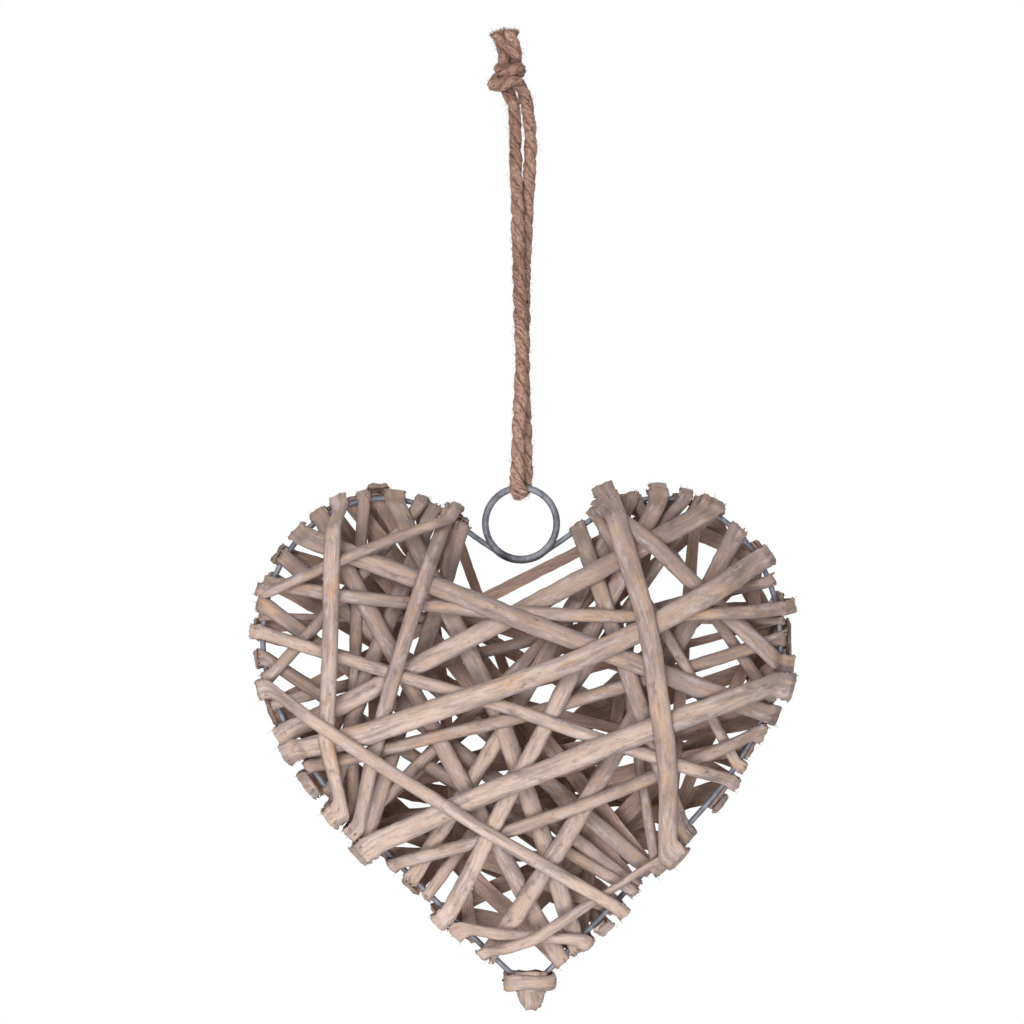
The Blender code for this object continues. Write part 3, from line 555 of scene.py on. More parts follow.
class Skin:
    """Points and faces of one piece, with its lengthwise map and its look values."""

    def __init__(self):
        self.points = []
        self.faces = []
        self.map = []
        self.look = []
        self.count = 0

    def add(self, points, faces, places, look):
        """Faces are rows of point numbers; places is the map at each face corner, in turn."""
        self.points.append(points.reshape(-1, 3))
        self.look.append(look.reshape(-1, 4))
        self.faces += [[self.count + k for k in face] for face in faces]
        self.map.append(places.reshape(-1, 2))
        self.count += len(self.points[-1])

    def tube(self, rings, along, around, look):
        """A closed tube: rings of points, the map's two values, and the looks of each point."""
        count, sides = rings.shape[:2]
        number = np.arange(count * sides).reshape(count, sides)
        following = np.roll(number, -1, axis=1)
        quads = np.stack([number[:-1], following[:-1], following[1:], number[1:]], axis=-1)
        # around has one value more than there are sides, where the map closes
        both = np.stack([np.repeat(along[:, None], sides + 1, axis=1), around], axis=-1)
        corners = np.stack([both[:-1, :-1], both[:-1, 1:], both[1:, 1:], both[1:, :-1]], axis=-2)
        caps = [list(number[0][::-1]), list(number[-1])]
        places = np.concatenate([corners.reshape(-1, 2), both[0, :-1][::-1], both[-1, :-1]])
        self.add(rings, quads.reshape(-1, 4).tolist() + caps, places, look)

    def hairs(self, roots, ways, curls, lengths, radius, look, ends=0.12):
        """Thin tapered fibres from their roots, each curling over to one side."""
        steps = np.array(HAIR_STEPS)
        spread = np.linspace(1.0, ends, len(steps)) ** 0.6
        ways = unit(ways)
        first = unit(np.cross(ways, curls))
        second = np.cross(ways, first)
        middles = (roots[:, None] + ways[:, None] * (lengths[:, None] * steps)[..., None]
                   + curls[:, None] * (lengths[:, None] * steps ** 2)[..., None])
        for k in range(len(roots)):
            ring = [first[k] * math.cos(angle) + second[k] * math.sin(angle) for angle in HAIR_SIDES]
            rings = middles[k][:, None] + np.array(ring)[None] * (radius * spread)[:, None, None]
            along = steps * lengths[k] * MAP_SCALE
            around = np.tile(np.array([0.0, 0.01, 0.02, 0.03]) + k * 0.37, (len(steps), 1))
            self.tube(rings, along, around, np.tile(look, (len(steps) * 3, 1)))

    def make(self, name, material, slot, nodes):
        """The finished piece, which stands for its solids."""
        mesh = bpy.data.meshes.new(name)
        mesh.from_pydata(np.concatenate(self.points).tolist(), [], self.faces)
        layer = mesh.uv_layers.new(name="lengthwise")
        layer.data.foreach_set("uv", np.concatenate(self.map).astype(np.float32).ravel())
        look = mesh.attributes.new("look", "FLOAT_COLOR", "POINT")
        look.data.foreach_set("color", np.concatenate(self.look).astype(np.float32).ravel())
        shape = bmesh.new()
        shape.from_mesh(mesh)
        bmesh.ops.recalc_face_normals(shape, faces=shape.faces)
        shape.to_mesh(mesh)
        shape.free()
        mesh.shade_smooth()
        piece = bpy.data.objects.new(name, mesh)
        bpy.context.collection.objects.link(piece)
        return finish_piece(piece, material, nodes)


def finish_piece(piece, material, nodes):
    """Give a finished piece its material and its body, and hide the solids that it stands for."""
    piece.data.materials.clear()
    piece.data.materials.append(material)
    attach(piece, "root")
    if nodes:
        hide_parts(*nodes)
    return piece


def take_alone(*pieces):
    """Select these pieces and nothing else, and make the first one active."""
    bpy.ops.object.select_all(action="DESELECT")
    for piece in reversed(pieces):
        piece.select_set(True)
        bpy.context.view_layer.objects.active = piece


class Split:
    """One strip of split willow along its sections: rounded, domed, uneven and creased."""

    def __init__(self, groups, number):
        self.rng = np.random.default_rng(1000 + number)
        rows = []
        for kind, group in enumerate(groups):
            for middle, side, depth in group:
                rows.append([*middle, *side, *depth, 1.0 if kind % 2 == 0 else 0.0])
        rows = np.array(rows)
        rows[:, 2] -= LOOP_DROP
        gaps = np.linalg.norm(np.diff(rows[:, :3], axis=0), axis=1)
        length = np.concatenate([[0.0], np.cumsum(np.maximum(gaps, 1e-6))])
        at = np.arange(0, length[-1], LINE_CUT)
        lines = np.stack([np.interp(at, length, column) for column in rows.T], axis=1)
        crisp = soften(lines, FOLD_ROUNDING)
        folded = np.clip(crisp[:, 9:10] * 1.6, 0, 1)
        lines = soften(lines, RUN_ROUNDING) * (1 - folded) + crisp * folded
        lines[:, 9] = folded[:, 0]
        kept = [k for k in range(len(at)) if k % (FOLD_RINGS if folded[k] > 0.03 else RUN_RINGS) == 0]
        self.at = at[kept]
        self.middle, self.side, self.depth = (lines[kept, k:k + 3] for k in (0, 3, 6))
        self.folded = lines[kept, 9]
        self.outward = unit(self.depth)

    def skin(self, tone, warmth):
        """Its surface, grained along its length, with what has sprung loose."""
        skin = Skin()
        at, rng, folded = self.at, self.rng, self.folded
        width = np.linalg.norm(self.side, axis=1)
        # Uneven width and thickness, with a swelling at each bud's scar
        widening = (1 + wobble(at, 0.022, rng, 0.05) + wobble(at, 0.0035, rng, 0.02)
                    + folded * wobble(at, 0.0011, rng, 0.11))
        thickening = 1.22 + wobble(at, 0.016, rng, 0.07) - 0.16 * folded
        for scar in np.arange(rng.uniform(0.01, SCAR_SPACING), at[-1], SCAR_SPACING):
            swelling = np.exp(-((at - scar) / SCAR_REACH) ** 2)
            thickening += 0.12 * swelling
            widening += 0.05 * swelling
        drift = wobble(at, 0.035, rng, 0.00035) * (1 - folded) + folded * wobble(at, 0.0016, rng, 0.00018)
        tilt = wobble(at, 0.03, rng, 0.16) * (1 - folded)
        # The section: a dome that its fibres ridge, over a flat inside
        turn = np.linspace(0, math.pi, DOME_POINTS)[None]
        fullness = (1.02 - 0.52 * folded)[:, None]
        narrowness = (0.92 - 0.30 * folded)[:, None]
        dome_across = np.sign(np.cos(turn)) * np.abs(np.cos(turn)) ** narrowness
        dome_up = np.sin(turn) ** fullness
        ridges = np.zeros_like(dome_up)
        for count in (5, 9, 14):
            slide = wobble(at, 0.02, rng, 1.2)[:, None]
            ridges += np.sin(count * turn + slide * 2.4 + rng.uniform(0, 6)) / count
        roughness = (0.07 + 0.10 * folded)[:, None]
        fibres = np.stack([wobble(at, 0.012, rng, 1.0) for _ in range(DOME_POINTS)], axis=1)
        dome_up = dome_up * (1 + roughness * ridges) * (1 + (0.03 + 0.30 * folded)[:, None] * fibres)
        flat_across = np.tile(np.linspace(-FLAT_EDGE, FLAT_EDGE, FLAT_POINTS), (len(at), 1))
        flat_up = np.zeros((len(at), FLAT_POINTS))
        across = np.concatenate([dome_across, flat_across], axis=1)
        up = np.concatenate([dome_up, flat_up], axis=1) + 0.03
        for edge in (0, DOME_POINTS - 1):
            across[:, edge] += wobble(at, 0.0025, rng, 0.035) + folded * wobble(at, 0.0009, rng, 0.13)
        up = np.maximum(up + tilt[:, None] * across * 0.5, -0.10)
        side = self.side * widening[:, None]
        depth = self.depth * thickening[:, None]
        beside = self.side / width[:, None]
        rings = (self.middle[:, None] + beside[:, None] * drift[:, None, None]
                 + side[:, None] * across[..., None] + depth[:, None] * up[..., None])
        ahead = unit(np.gradient(rings.mean(axis=1), axis=0))
        for end, sign in ((0, -1), (-1, 1)):
            ragged = rng.uniform(0.0, 0.0011, across.shape[1])
            rings[end] += sign * ahead[end] * ragged[:, None]
        around = np.concatenate([across, across[:, -1:] + 0.02], axis=1) * width[:, None] * MAP_SCALE
        around[:, DOME_POINTS:] += 9.0
        # Inside is 1 across the flat inside and rises towards the dome's two edges, where the material
        # darkens the strip: partly wash gathered at the edges, partly painted shade that makes the dome look
        # rounder.
        inside = np.concatenate([0.6 * np.abs(np.cos(turn[0])) ** 3, np.ones(FLAT_POINTS)])
        # What its material reads: tone, fold, inside and warmth. The tone carries painted light: it rises
        # towards the bottom and the left of the heart, so the strips there are painted lighter and those at
        # the top right darker.
        lower = np.clip((HEART_MIDDLE[2] - rings[..., 2] - 0.3 * rings[..., 0]) / 0.08, -1.2, 1)
        look = np.stack([tone + 0.38 * lower, np.repeat(folded[:, None], across.shape[1], axis=1),
                         np.repeat(inside[None], len(at), axis=0), np.full_like(across, warmth)], axis=-1)
        skin.tube(rings, (at + 3.1 * tone) * MAP_SCALE, around, look)
        self.splinters(skin, rings, ahead, tone, warmth)
        return skin

    def splinters(self, skin, rings, ahead, tone, warmth):
        """Fibres sprung loose at the folds and, a few, along the edges."""
        rng = self.rng
        weights = self.folded + 0.02
        weights[-3:] = 0
        chosen = rng.choice(len(weights), SPLINTERS, p=weights / weights.sum())
        last = DOME_POINTS - 1
        roots = rings[chosen, rng.choice([0, 1, 2, 3, last // 2, last - 3, last - 1, last], SPLINTERS)]
        outward = self.outward[chosen]
        sign = rng.choice([-1, 1], SPLINTERS)[:, None]
        ways = ahead[chosen] * sign + outward * rng.uniform(0.15, 0.6, SPLINTERS)[:, None]
        curls = outward * rng.uniform(0.05, 0.5, SPLINTERS)[:, None] + rng.normal(0, 0.12, (SPLINTERS, 3))
        lengths = rng.uniform(*SPLINTER_LENGTHS, SPLINTERS)
        skin.hairs(roots, ways, curls, lengths, SPLINTER_RADIUS, (tone, 1.0, 0.0, warmth))
        self.flakes(skin, rings, ahead, tone, warmth)

    def flakes(self, skin, rings, ahead, tone, warmth):
        """Cracked ends of the outer fibres, which stand on past each fold."""
        rng = self.rng
        rise = np.gradient(self.folded)
        shoulders = np.flatnonzero((np.abs(rise) > 0.04) & (self.folded > 0.35) & (self.folded < 0.999))
        if len(shoulders) == 0:
            return
        chosen = rng.choice(shoulders, FLAKES)
        roots = rings[chosen, rng.integers(1, DOME_POINTS - 1, FLAKES)]
        outward = self.outward[chosen]
        roots = roots - outward * 0.00020
        ways = (ahead[chosen] * np.sign(rise[chosen])[:, None]
                + outward * rng.uniform(-0.1, 0.2, FLAKES)[:, None])
        curls = rng.normal(0, 0.10, (FLAKES, 3))
        lengths = rng.uniform(*FLAKE_LENGTHS, FLAKES)
        skin.hairs(roots, ways, curls, lengths, FLAKE_RADIUS, (tone, 1.0, 0.1, warmth), ends=0.5)


class Rope:
    """A two-ply twine along a route, with its fibres."""

    def __init__(self, route, radius, start_turn, seed):
        self.rng = np.random.default_rng(seed)
        fine = smooth_curve(route, ROUTE_CURVE_STEPS)
        length = np.linalg.norm(np.diff(fine, axis=0), axis=1).sum()
        self.line, self.length = evenly(fine, int(length / TWINE_RING))
        self.at = np.linspace(0, self.length, len(self.line))
        self.ahead = unit(np.gradient(self.line, axis=0))
        normal = np.cross(self.ahead[0], (0.0, 1.0, 0.0))
        normals = []
        for way in self.ahead:
            normal = normal - way * (normal @ way)
            normal = normal / np.linalg.norm(normal)
            normals.append(normal)
        self.normal = np.array(normals)
        self.other = np.cross(self.ahead, self.normal)
        self.radius = radius
        self.start_turn = start_turn

    def add_to(self, skin, closeness, pressed=0.0, flare=0.0):
        """Its surface: two plies, drawn together, pressed at the middle or flared at the end."""
        turn = np.linspace(0, 2 * math.pi, TWINE_POINTS, endpoint=False)[None]
        rng, at = self.rng, self.at
        lay = (2 * math.pi * at / PLY_PITCH + self.start_turn + wobble(at, 0.02, rng, 0.35))[:, None]
        ply = turn + lay
        crease = (1 - np.abs(np.cos(ply))) ** 1.7
        # Two plies with a crease between them, uneven and ridged by their fibres
        radius = self.radius * (1 + wobble(at, 0.012, rng, 0.05) + wobble(at, 0.003, rng, 0.025))[:, None]
        radius = radius * (1.05 - 0.30 * closeness * crease)
        for count in (7, 11, 17):
            slide = wobble(at, 0.004, rng, 1.4)[:, None]
            radius = radius * (1 + 0.022 * np.sin(count * ply + slide * 3 + rng.uniform(0, 6)))
        radius = radius * (1 + 0.05 * self.lumps(ply.shape))
        share = at / self.length
        radius = radius * (1 + flare * np.clip((share - 0.82) / 0.18, 0, 1) ** 2)[:, None]
        flat = pressed * np.exp(-((at - self.length / 2) / PRESSED_REACH) ** 2)[:, None]
        rings = (self.line[:, None] + self.normal[:, None] * (np.cos(turn) * radius * (1 + flat))[..., None]
                 + self.other[:, None] * (np.sin(turn) * radius * (1 - flat))[..., None])
        around = np.concatenate([ply, ply[:, :1] + 2 * math.pi], axis=1) * self.radius * MAP_SCALE
        shade = np.repeat(wobble(at, 0.01, rng, 0.5)[:, None] + 0.5, TWINE_POINTS, axis=1)
        # The crease value is where the material paints shade between the plies.
        look = np.stack([shade, crease, np.zeros_like(shade), np.ones_like(shade)], axis=-1)
        skin.tube(rings, at * MAP_SCALE + self.start_turn, around, look)

    def lumps(self, shape):
        """Soft random values over the rope's rings and points, about a millimetre across."""
        values = self.rng.normal(0, 1, shape)
        for _ in range(3):
            values = (values + np.roll(values, 1, 0) + np.roll(values, -1, 0) + np.roll(values, 1, 1)
                      + np.roll(values, -1, 1)) / 5
        return np.clip(values / values.std(), -2, 2)

    def around_it(self, where, angle):
        """Directions square to the twine at its places, one for each angle."""
        return self.normal[where] * np.cos(angle)[:, None] + self.other[where] * np.sin(angle)[:, None]

    def fuzz(self, skin, count, longest):
        """Loose fibres that stand out of the plies, most of them lying nearly along them."""
        rng = self.rng
        where = (rng.uniform(0.0, 1.0, count) * (len(self.line) - 1)).astype(int)
        out = self.around_it(where, rng.uniform(0, 2 * math.pi, count))
        round_it = np.cross(self.ahead[where], out)
        roots = self.line[where] + out * self.radius * 0.93
        sign = rng.choice([-1, 1], count)[:, None]
        ways = (self.ahead[where] * sign + round_it * rng.uniform(-0.5, 1.0, count)[:, None]
                + out * rng.uniform(0.10, 0.85, count)[:, None])
        curls = out * rng.uniform(-0.25, 0.5, count)[:, None] + rng.normal(0, 0.3, (count, 3))
        lengths = longest * (0.2 + 0.8 * rng.uniform(0.0, 1.0, count) ** 2.5)
        skin.hairs(roots, ways, curls, lengths, FUZZ_RADIUS, (0.8, 0.0, 0.0, 1.0))

    def brush(self, skin, count, length):
        """The frayed end of the strand."""
        rng = self.rng
        angle = rng.uniform(0, 2 * math.pi, count)
        share = np.sqrt(rng.uniform(0, 1, count))
        out = self.around_it(-1, angle)
        roots = self.line[-1] + out * (self.radius * 1.15 * share)[:, None] - self.ahead[-1] * 0.0008
        ways = self.ahead[-1] + out * (0.45 * share)[:, None] + rng.normal(0, 0.10, (count, 3))
        curls = rng.normal(0, 0.30, (count, 3))
        lengths = length * rng.uniform(0.45, 1.0, count)
        skin.hairs(roots, ways, curls, lengths, BRUSH_RADIUS, (0.6, 0.1, 0.0, 1.0))


class Value:
    """One output of a material's nodes; sums on it add Math nodes."""

    def __init__(self, look, socket):
        self.look = look
        self.socket = socket

    def math(self, operation, *others):
        return self.look.node("ShaderNodeMath", {"operation": operation}, dict(enumerate((self,) + others)))

    def __add__(self, other):
        return self.math("ADD", other)

    def __sub__(self, other):
        return self.math("SUBTRACT", other)

    def __mul__(self, other):
        return self.math("MULTIPLY", other)

    def __rsub__(self, other):
        return (self * -1) + other

    __radd__ = __add__
    __rmul__ = __mul__

    def between(self, low, high):
        """0 below low and 1 above high, smooth between; low may be the larger."""
        return self.look.node("ShaderNodeMapRange", {"interpolation_type": "SMOOTHSTEP"},
                              {"Value": self, "From Min": low, "From Max": high})


class Look:
    """A material, or the world, being made node by node."""

    def __init__(self, owner, shader="Principled BSDF"):
        self.owner = owner
        owner.use_nodes = True
        self.tree = owner.node_tree
        self.shader = self.tree.nodes[shader]

    def connect(self, made, sockets):
        """Give a node's sockets their values or links."""
        for name, value in sockets.items():
            if isinstance(value, Value):
                self.tree.links.new(value.socket, made.inputs[name])
            else:
                made.inputs[name].default_value = value

    def node(self, kind, settings, sockets, output=0):
        """Add a node: first its settings, then its sockets."""
        made = self.tree.nodes.new(kind)
        for name, value in settings.items():
            setattr(made, name, value)
        self.connect(made, sockets)
        return Value(self, made.outputs[output])

    def colours(self, factor, first, second):
        """A colour between two others."""
        first, second = (c if isinstance(c, Value) else (*c, 1.0) for c in (first, second))
        return self.node("ShaderNodeMix", {"data_type": "RGBA"}, {0: factor, 6: first, 7: second}, 2)

    def coats(self, body, *coats):
        """A colour under thin coats: each one's share, and its colour."""
        for share, colour in coats:
            body = self.colours(share, body, colour)
        return body

    def noise(self, vector, scales, detail=3.0, roughness=0.55):
        """Soft random values over a map that is stretched by three scales."""
        stretched = self.node("ShaderNodeVectorMath", {"operation": "MULTIPLY"}, {0: vector, 1: scales})
        return self.node("ShaderNodeTexNoise", {},
                         {"Vector": stretched, "Scale": 1.0, "Detail": detail, "Roughness": roughness})

    def looks(self):
        """The piece's own values: tone, fold or crease, inside, warmth."""
        split = self.node("ShaderNodeAttribute", {"attribute_name": "look"}, {})
        made = [self.node("ShaderNodeSeparateColor", {}, {"Color": split}, k) for k in range(3)]
        return made + [Value(self, split.socket.node.outputs["Alpha"])]

    def lengthwise(self, third):
        """The map along and across the piece in centimetres, with a third value."""
        along = self.node("ShaderNodeUVMap", {"uv_map": "lengthwise"}, {})
        u, v = (self.node("ShaderNodeSeparateXYZ", {}, {0: along}, k) for k in range(2))
        return self.node("ShaderNodeCombineXYZ", {}, {0: u, 1: v, 2: third})

    def finish(self, colour, roughness, height, relief, metallic=0.0):
        bump = self.node("ShaderNodeBump", {}, {"Strength": 1.0, "Distance": relief, "Height": height})
        self.connect(self.shader, {"Base Color": colour, "Roughness": roughness, "Normal": bump,
                                   "Metallic": metallic})
        return self.owner


def washed_willow(sizes):
    """Dry split willow under a thin grey wash: smoky streaks, pale bloom, warm bare places, darker edges that
    are partly wash and partly painted shade, and painted light and shade carried by the tone.
    """
    look = Look(bpy.data.materials.new("washed_willow"))
    tone, folded, inside, warmth = look.looks()
    lengthwise = look.lengthwise(tone * 3)
    patches = look.noise(lengthwise, (0.45, 1.2, 1.0), 3.0)
    smoke = look.noise(lengthwise, (0.40, 4.2, 2.0), 5.0, 0.62)
    bands = look.noise(lengthwise, (1.3, 9.0, 3.0), 4.0, 0.6)
    fine = look.noise(lengthwise, (3.0, 34.0, 1.0), 4.0, 0.65)
    bloom = look.noise(lengthwise, (0.9, 3.2, 4.0), 4.0, 0.6)
    bare = look.noise(lengthwise, (0.7, 2.4, 5.0), 3.0)
    marks = look.noise(lengthwise, (2.2, 5.5, 6.0), 3.0, 0.6)
    smudge = look.noise(lengthwise, (0.9, 2.0, 7.0), 5.0, 0.66)
    # The wash's dark and light colours are mixed by the tone, so this mix also carries the painted light and
    # painted shade that the tone holds.
    body = look.coats(
        look.colours((tone * 0.9 + (patches - 0.5) * 1.4).between(-0.10, 1.15), sizes.dark_wash,
                     sizes.light_wash),
        (bare.between(0.50, 0.68) * (warmth * 0.70 + 0.30), sizes.warm),
        (bands.between(0.50, 0.70) * 0.42, sizes.streak),
        ((smoke + (1 - tone) * 0.06).between(0.49, 0.66) * 0.68, sizes.smoke),
        (bloom.between(0.52, 0.72) * 0.70, sizes.bloom),
        ((fine - 0.35).between(0.30, -0.05) * 0.30, sizes.streak),
        ((smudge + folded * 0.04).between(0.54, 0.72) * 0.66, sizes.mark),
        ((marks + folded * 0.03).between(0.64, 0.76) * 0.75, sizes.mark),
        # Darker edges: partly wash gathered there, partly painted shade.
        (inside.between(0.04, 0.45) * 0.40, sizes.smoke))
    raw = look.colours((bands * 0.5 + fine * 0.5).between(0.38, 0.60), sizes.raw, sizes.raw_light)
    raw = look.colours(smoke.between(0.50, 0.66) * 0.5, raw, sizes.streak)
    body = look.colours(inside.between(0.40, 1.0) * 0.85, body, raw)
    rough = 0.70 + bands * 0.25
    height = smoke * 0.35 + bands * 0.55 + fine * 0.22 - marks.between(0.64, 0.76) * 0.25
    return look.finish(body, rough, height, 0.00045)


def galvanised(sizes):
    """Zinc-coated drawn wire: blue-grey, dull, with pale bloom and dark scuffs."""
    look = Look(bpy.data.materials.new("dull_zinc"))
    here = look.node("ShaderNodeTexCoord", {}, {}, 3)
    bloom = look.noise(here, (260.0, 260.0, 260.0), 4.0)
    scuffs = look.noise(here, (900.0, 900.0, 300.0), 3.0)
    turn = math.radians(WELD_BURN)
    burnt = (RING_DIAMETER / 2 * math.cos(turn), -0.001, RING_DIAMETER / 2 * math.sin(turn) - LOOP_DROP)
    away = look.node("ShaderNodeVectorMath", {"operation": "DISTANCE"}, {0: here, 1: burnt}, 1)
    body = look.coats(
        look.colours(bloom.between(0.35, 0.68), sizes.zinc_dark, sizes.zinc_light),
        (scuffs.between(0.60, 0.72) * 0.6, sizes.zinc_scuff),
        ((away + scuffs * 0.004).between(0.0070, 0.0030) * 0.85, sizes.burn))
    height = bloom * 0.5 + scuffs * 0.5
    return look.finish(body, 0.50 + bloom * 0.25, height, 0.00010, metallic=0.6)


def jute_fibre(sizes):
    """Natural jute: reddish tan, with painted shade between the plies, and pale loose fibres."""
    look = Look(bpy.data.materials.new("jute_fibre"))
    shade, crease, inside = look.looks()[:3]
    lengthwise = look.lengthwise(inside)
    strands = look.noise(lengthwise, (4.0, 11.0, 1.0), 5.0, 0.75)
    fine = look.noise(lengthwise, (7.0, 52.0, 1.0), 4.0, 0.65)
    patches = look.noise(lengthwise, (3.0, 4.0, 1.0), 3.0)
    pits = look.noise(lengthwise, (6.5, 11.0, 3.0), 3.0, 0.6)
    body = look.coats(
        look.colours((strands + shade * 0.20).between(0.38, 0.78), sizes.jute_dark, sizes.jute_light),
        (patches.between(0.46, 0.70) * 0.6, sizes.jute_red),
        (fine.between(0.58, 0.38) * 0.45, sizes.jute_dark),
        (pits.between(0.50, 0.68) * 0.70, sizes.jute_deep),
        # Painted shade: the crease between the plies is darkened.
        ((crease + (strands - 0.5) * 0.5).between(0.36, 1.0) * 0.72, sizes.jute_deep))
    height = strands * 0.8 + fine * 0.45 - pits.between(0.50, 0.68) * 0.5
    return look.finish(body, 0.92, height, 0.0014)


def colour_setting(name, description, value):
    return bpy.props.FloatVectorProperty(name=name, description=description, subtype="COLOR", size=3,
                                         min=0.0, max=1.0, default=value)


def power_setting(name, description, value):
    return bpy.props.FloatProperty(name=name, description=description, unit="POWER", default=value)


class WillowSettings(bpy.types.PropertyGroup):
    light_wash: colour_setting("Light wash", "Willow where the wash has dried pale", (0.66, 0.505, 0.425))
    dark_wash: colour_setting("Dark wash", "Willow where the wash is thin", (0.33, 0.225, 0.175))
    streak: colour_setting("Streaks", "Darker fibres along a strip", (0.215, 0.145, 0.115))
    # The smoky colour also darkens each strip's edges, partly as wash and partly as painted shade.
    smoke: colour_setting("Smoky streaks", "Soft grey streaks of the wash", (0.215, 0.175, 0.178))
    bloom: colour_setting("Bloom", "Pale lavender bloom of the wash", (0.52, 0.445, 0.455))
    warm: colour_setting("Warm patches", "Bare wood showing through", (0.52, 0.325, 0.205))
    mark: colour_setting("Marks", "Small dark weathered marks", (0.115, 0.090, 0.085))
    raw: colour_setting("Raw inside", "The split's flat inside", (0.25, 0.155, 0.12))
    raw_light: colour_setting("Raw inside, light", "Paler fibres of the inside", (0.44, 0.295, 0.23))


class WireSettings(bpy.types.PropertyGroup):
    sides: bpy.props.IntProperty(name="Sides", description="Faces round a wire", default=18, min=8, max=48)
    zinc_light: colour_setting("Zinc", "Bright zinc", (0.29, 0.29, 0.33))
    zinc_dark: colour_setting("Dull zinc", "Zinc gone dull", (0.135, 0.135, 0.158))
    zinc_scuff: colour_setting("Scuffs", "Marks on the zinc", (0.07, 0.068, 0.077))
    burn: colour_setting("Weld burn", "Zinc burnt off beside the weld", (0.035, 0.033, 0.042))


class JuteSettings(bpy.types.PropertyGroup):
    thickness: bpy.props.FloatProperty(name="Thickness", description="Twine across both plies", unit="LENGTH",
                                       default=0.0046, min=0.003, max=0.0048)
    loose_fibres: bpy.props.IntProperty(name="Loose fibres", description="Along the loop", default=3000,
                                        min=0, max=6000)
    jute_light: colour_setting("Light jute", "Sunlit fibres", (0.77, 0.495, 0.385))
    jute_dark: colour_setting("Dark jute", "Fibres in shade", (0.345, 0.18, 0.13))
    jute_red: colour_setting("Red jute", "Redder patches", (0.56, 0.275, 0.205))
    # Painted shade in the crease of the twine; the same colour also marks the dark pits.
    jute_deep: colour_setting("Between the plies", "The crease of the twine", (0.155, 0.074, 0.053))


class StudioSettings(bpy.types.PropertyGroup):
    key: power_setting("Key light", "Large soft light from the upper left", 9.5)
    fill: power_setting("Fill light", "Soft light from below", 6.4)
    back: power_setting("Back light", "Soft light behind the heart", 11.0)
    ambient: bpy.props.FloatProperty(name="Surroundings", description="Light from all round", default=0.61)


class PieceOperator:
    """What the operators share: each one can be undone"""
    bl_options = {"REGISTER", "UNDO"}


class WILLOWHEART_OT_frame_wire(PieceOperator, bpy.types.Operator):
    """Bend the heart's wire"""
    bl_idname = "willowheart.frame_wire"
    bl_label = "Frame wire"

    def execute(self, context):
        sizes = context.scene.willow_wire
        points = Outline().points[::WIRE_EACH]
        # Bent in behind the ring, in a straight leg on either side of it
        away = np.linalg.norm(points, axis=1)
        from_ring = np.sqrt(np.maximum(away ** 2 - HUG ** 2, 0.0))
        behind = np.clip(1.0 - from_ring / BENDS_BEHIND, 0.0, 1.0)
        for _ in range(BEND_PASSES):
            behind = (np.roll(behind, 1) + 2.0 * behind + np.roll(behind, -1)) / 4.0
        points = points * (1.0 - behind * WIRE_TUCKED / away)[:, None]
        line = bpy.data.curves.new("frame_wire", "CURVE")
        line.dimensions = "3D"
        line.bevel_depth = FRAME_WIRE / 2 * FRAME_FULLNESS
        line.bevel_resolution = max(2, sizes.sides // 2 - 2)
        spline = line.splines.new("POLY")
        spline.points.add(len(points) - 1)
        spline.use_cyclic_u = True
        for knot, (x, z), share in zip(spline.points, points, behind):
            knot.co = (x, share * WIRE_BEHIND, z - LOOP_DROP, 1.0)
        wire = bpy.data.objects.new("frame_wire", line)
        context.collection.objects.link(wire)
        take_alone(wire)
        bpy.ops.object.convert(target="MESH")
        bpy.ops.object.shade_smooth()
        finish_piece(context.object, galvanised(sizes), ["wire_frame"])
        return {"FINISHED"}


class WILLOWHEART_OT_hanging_ring(PieceOperator, bpy.types.Operator):
    """Bend the ring and weld it to the frame"""
    bl_idname = "willowheart.hanging_ring"
    bl_label = "Hanging ring and weld"

    def execute(self, context):
        sizes = context.scene.willow_wire
        take_alone()
        bpy.ops.mesh.primitive_torus_add(
            major_radius=(RING_DIAMETER - RING_WIRE) / 2, minor_radius=RING_WIRE / 2 * RING_FULLNESS,
            major_segments=120, minor_segments=sizes.sides, location=(0, 0, -LOOP_DROP),
            rotation=(math.pi / 2, 0, 0))
        ring = context.object
        ring.name = "welded_ring"
        bpy.ops.object.transform_apply()
        bpy.ops.object.shade_smooth()
        finish_piece(ring, bpy.data.materials["dull_zinc"], ["hanging_ring"])
        self.weld(context)
        return {"FINISHED"}

    def weld(self, context):
        """Beads in the groove between the ring and the wire behind it, on the underside."""
        rng = np.random.default_rng(7)
        reach = (RING_DIAMETER - RING_WIRE) / 2 + WELD_BELOW
        beads = []
        for angle, size in WELD_BEADS:
            turn = math.radians(angle)
            take_alone()
            bpy.ops.mesh.primitive_ico_sphere_add(
                subdivisions=4, radius=WELD_BEAD * size, rotation=(0, -turn, 0), scale=(0.85, 1.0, 2.0),
                location=(reach * math.cos(turn), WIRE_BEHIND * WELD_BACK,
                          reach * math.sin(turn) - LOOP_DROP))
            bpy.ops.object.transform_apply()
            bead = context.object
            for corner in bead.data.vertices:
                corner.co += corner.normal * float(rng.normal(0, WELD_UNEVEN))
            beads.append(bead)
        take_alone(*beads)
        bpy.ops.object.join()
        bead = context.object
        bead.name = "weld_beads"
        skin = bead.modifiers.new("Skin", "REMESH")
        skin.mode = "VOXEL"
        skin.voxel_size = WELD_VOXEL
        smooth = bead.modifiers.new("Smooth", "SMOOTH")
        smooth.iterations = 4
        for modifier in list(bead.modifiers):
            bpy.ops.object.modifier_apply(modifier=modifier.name)
        bpy.ops.object.shade_smooth()
        finish_piece(bead, bpy.data.materials["dull_zinc"], [])


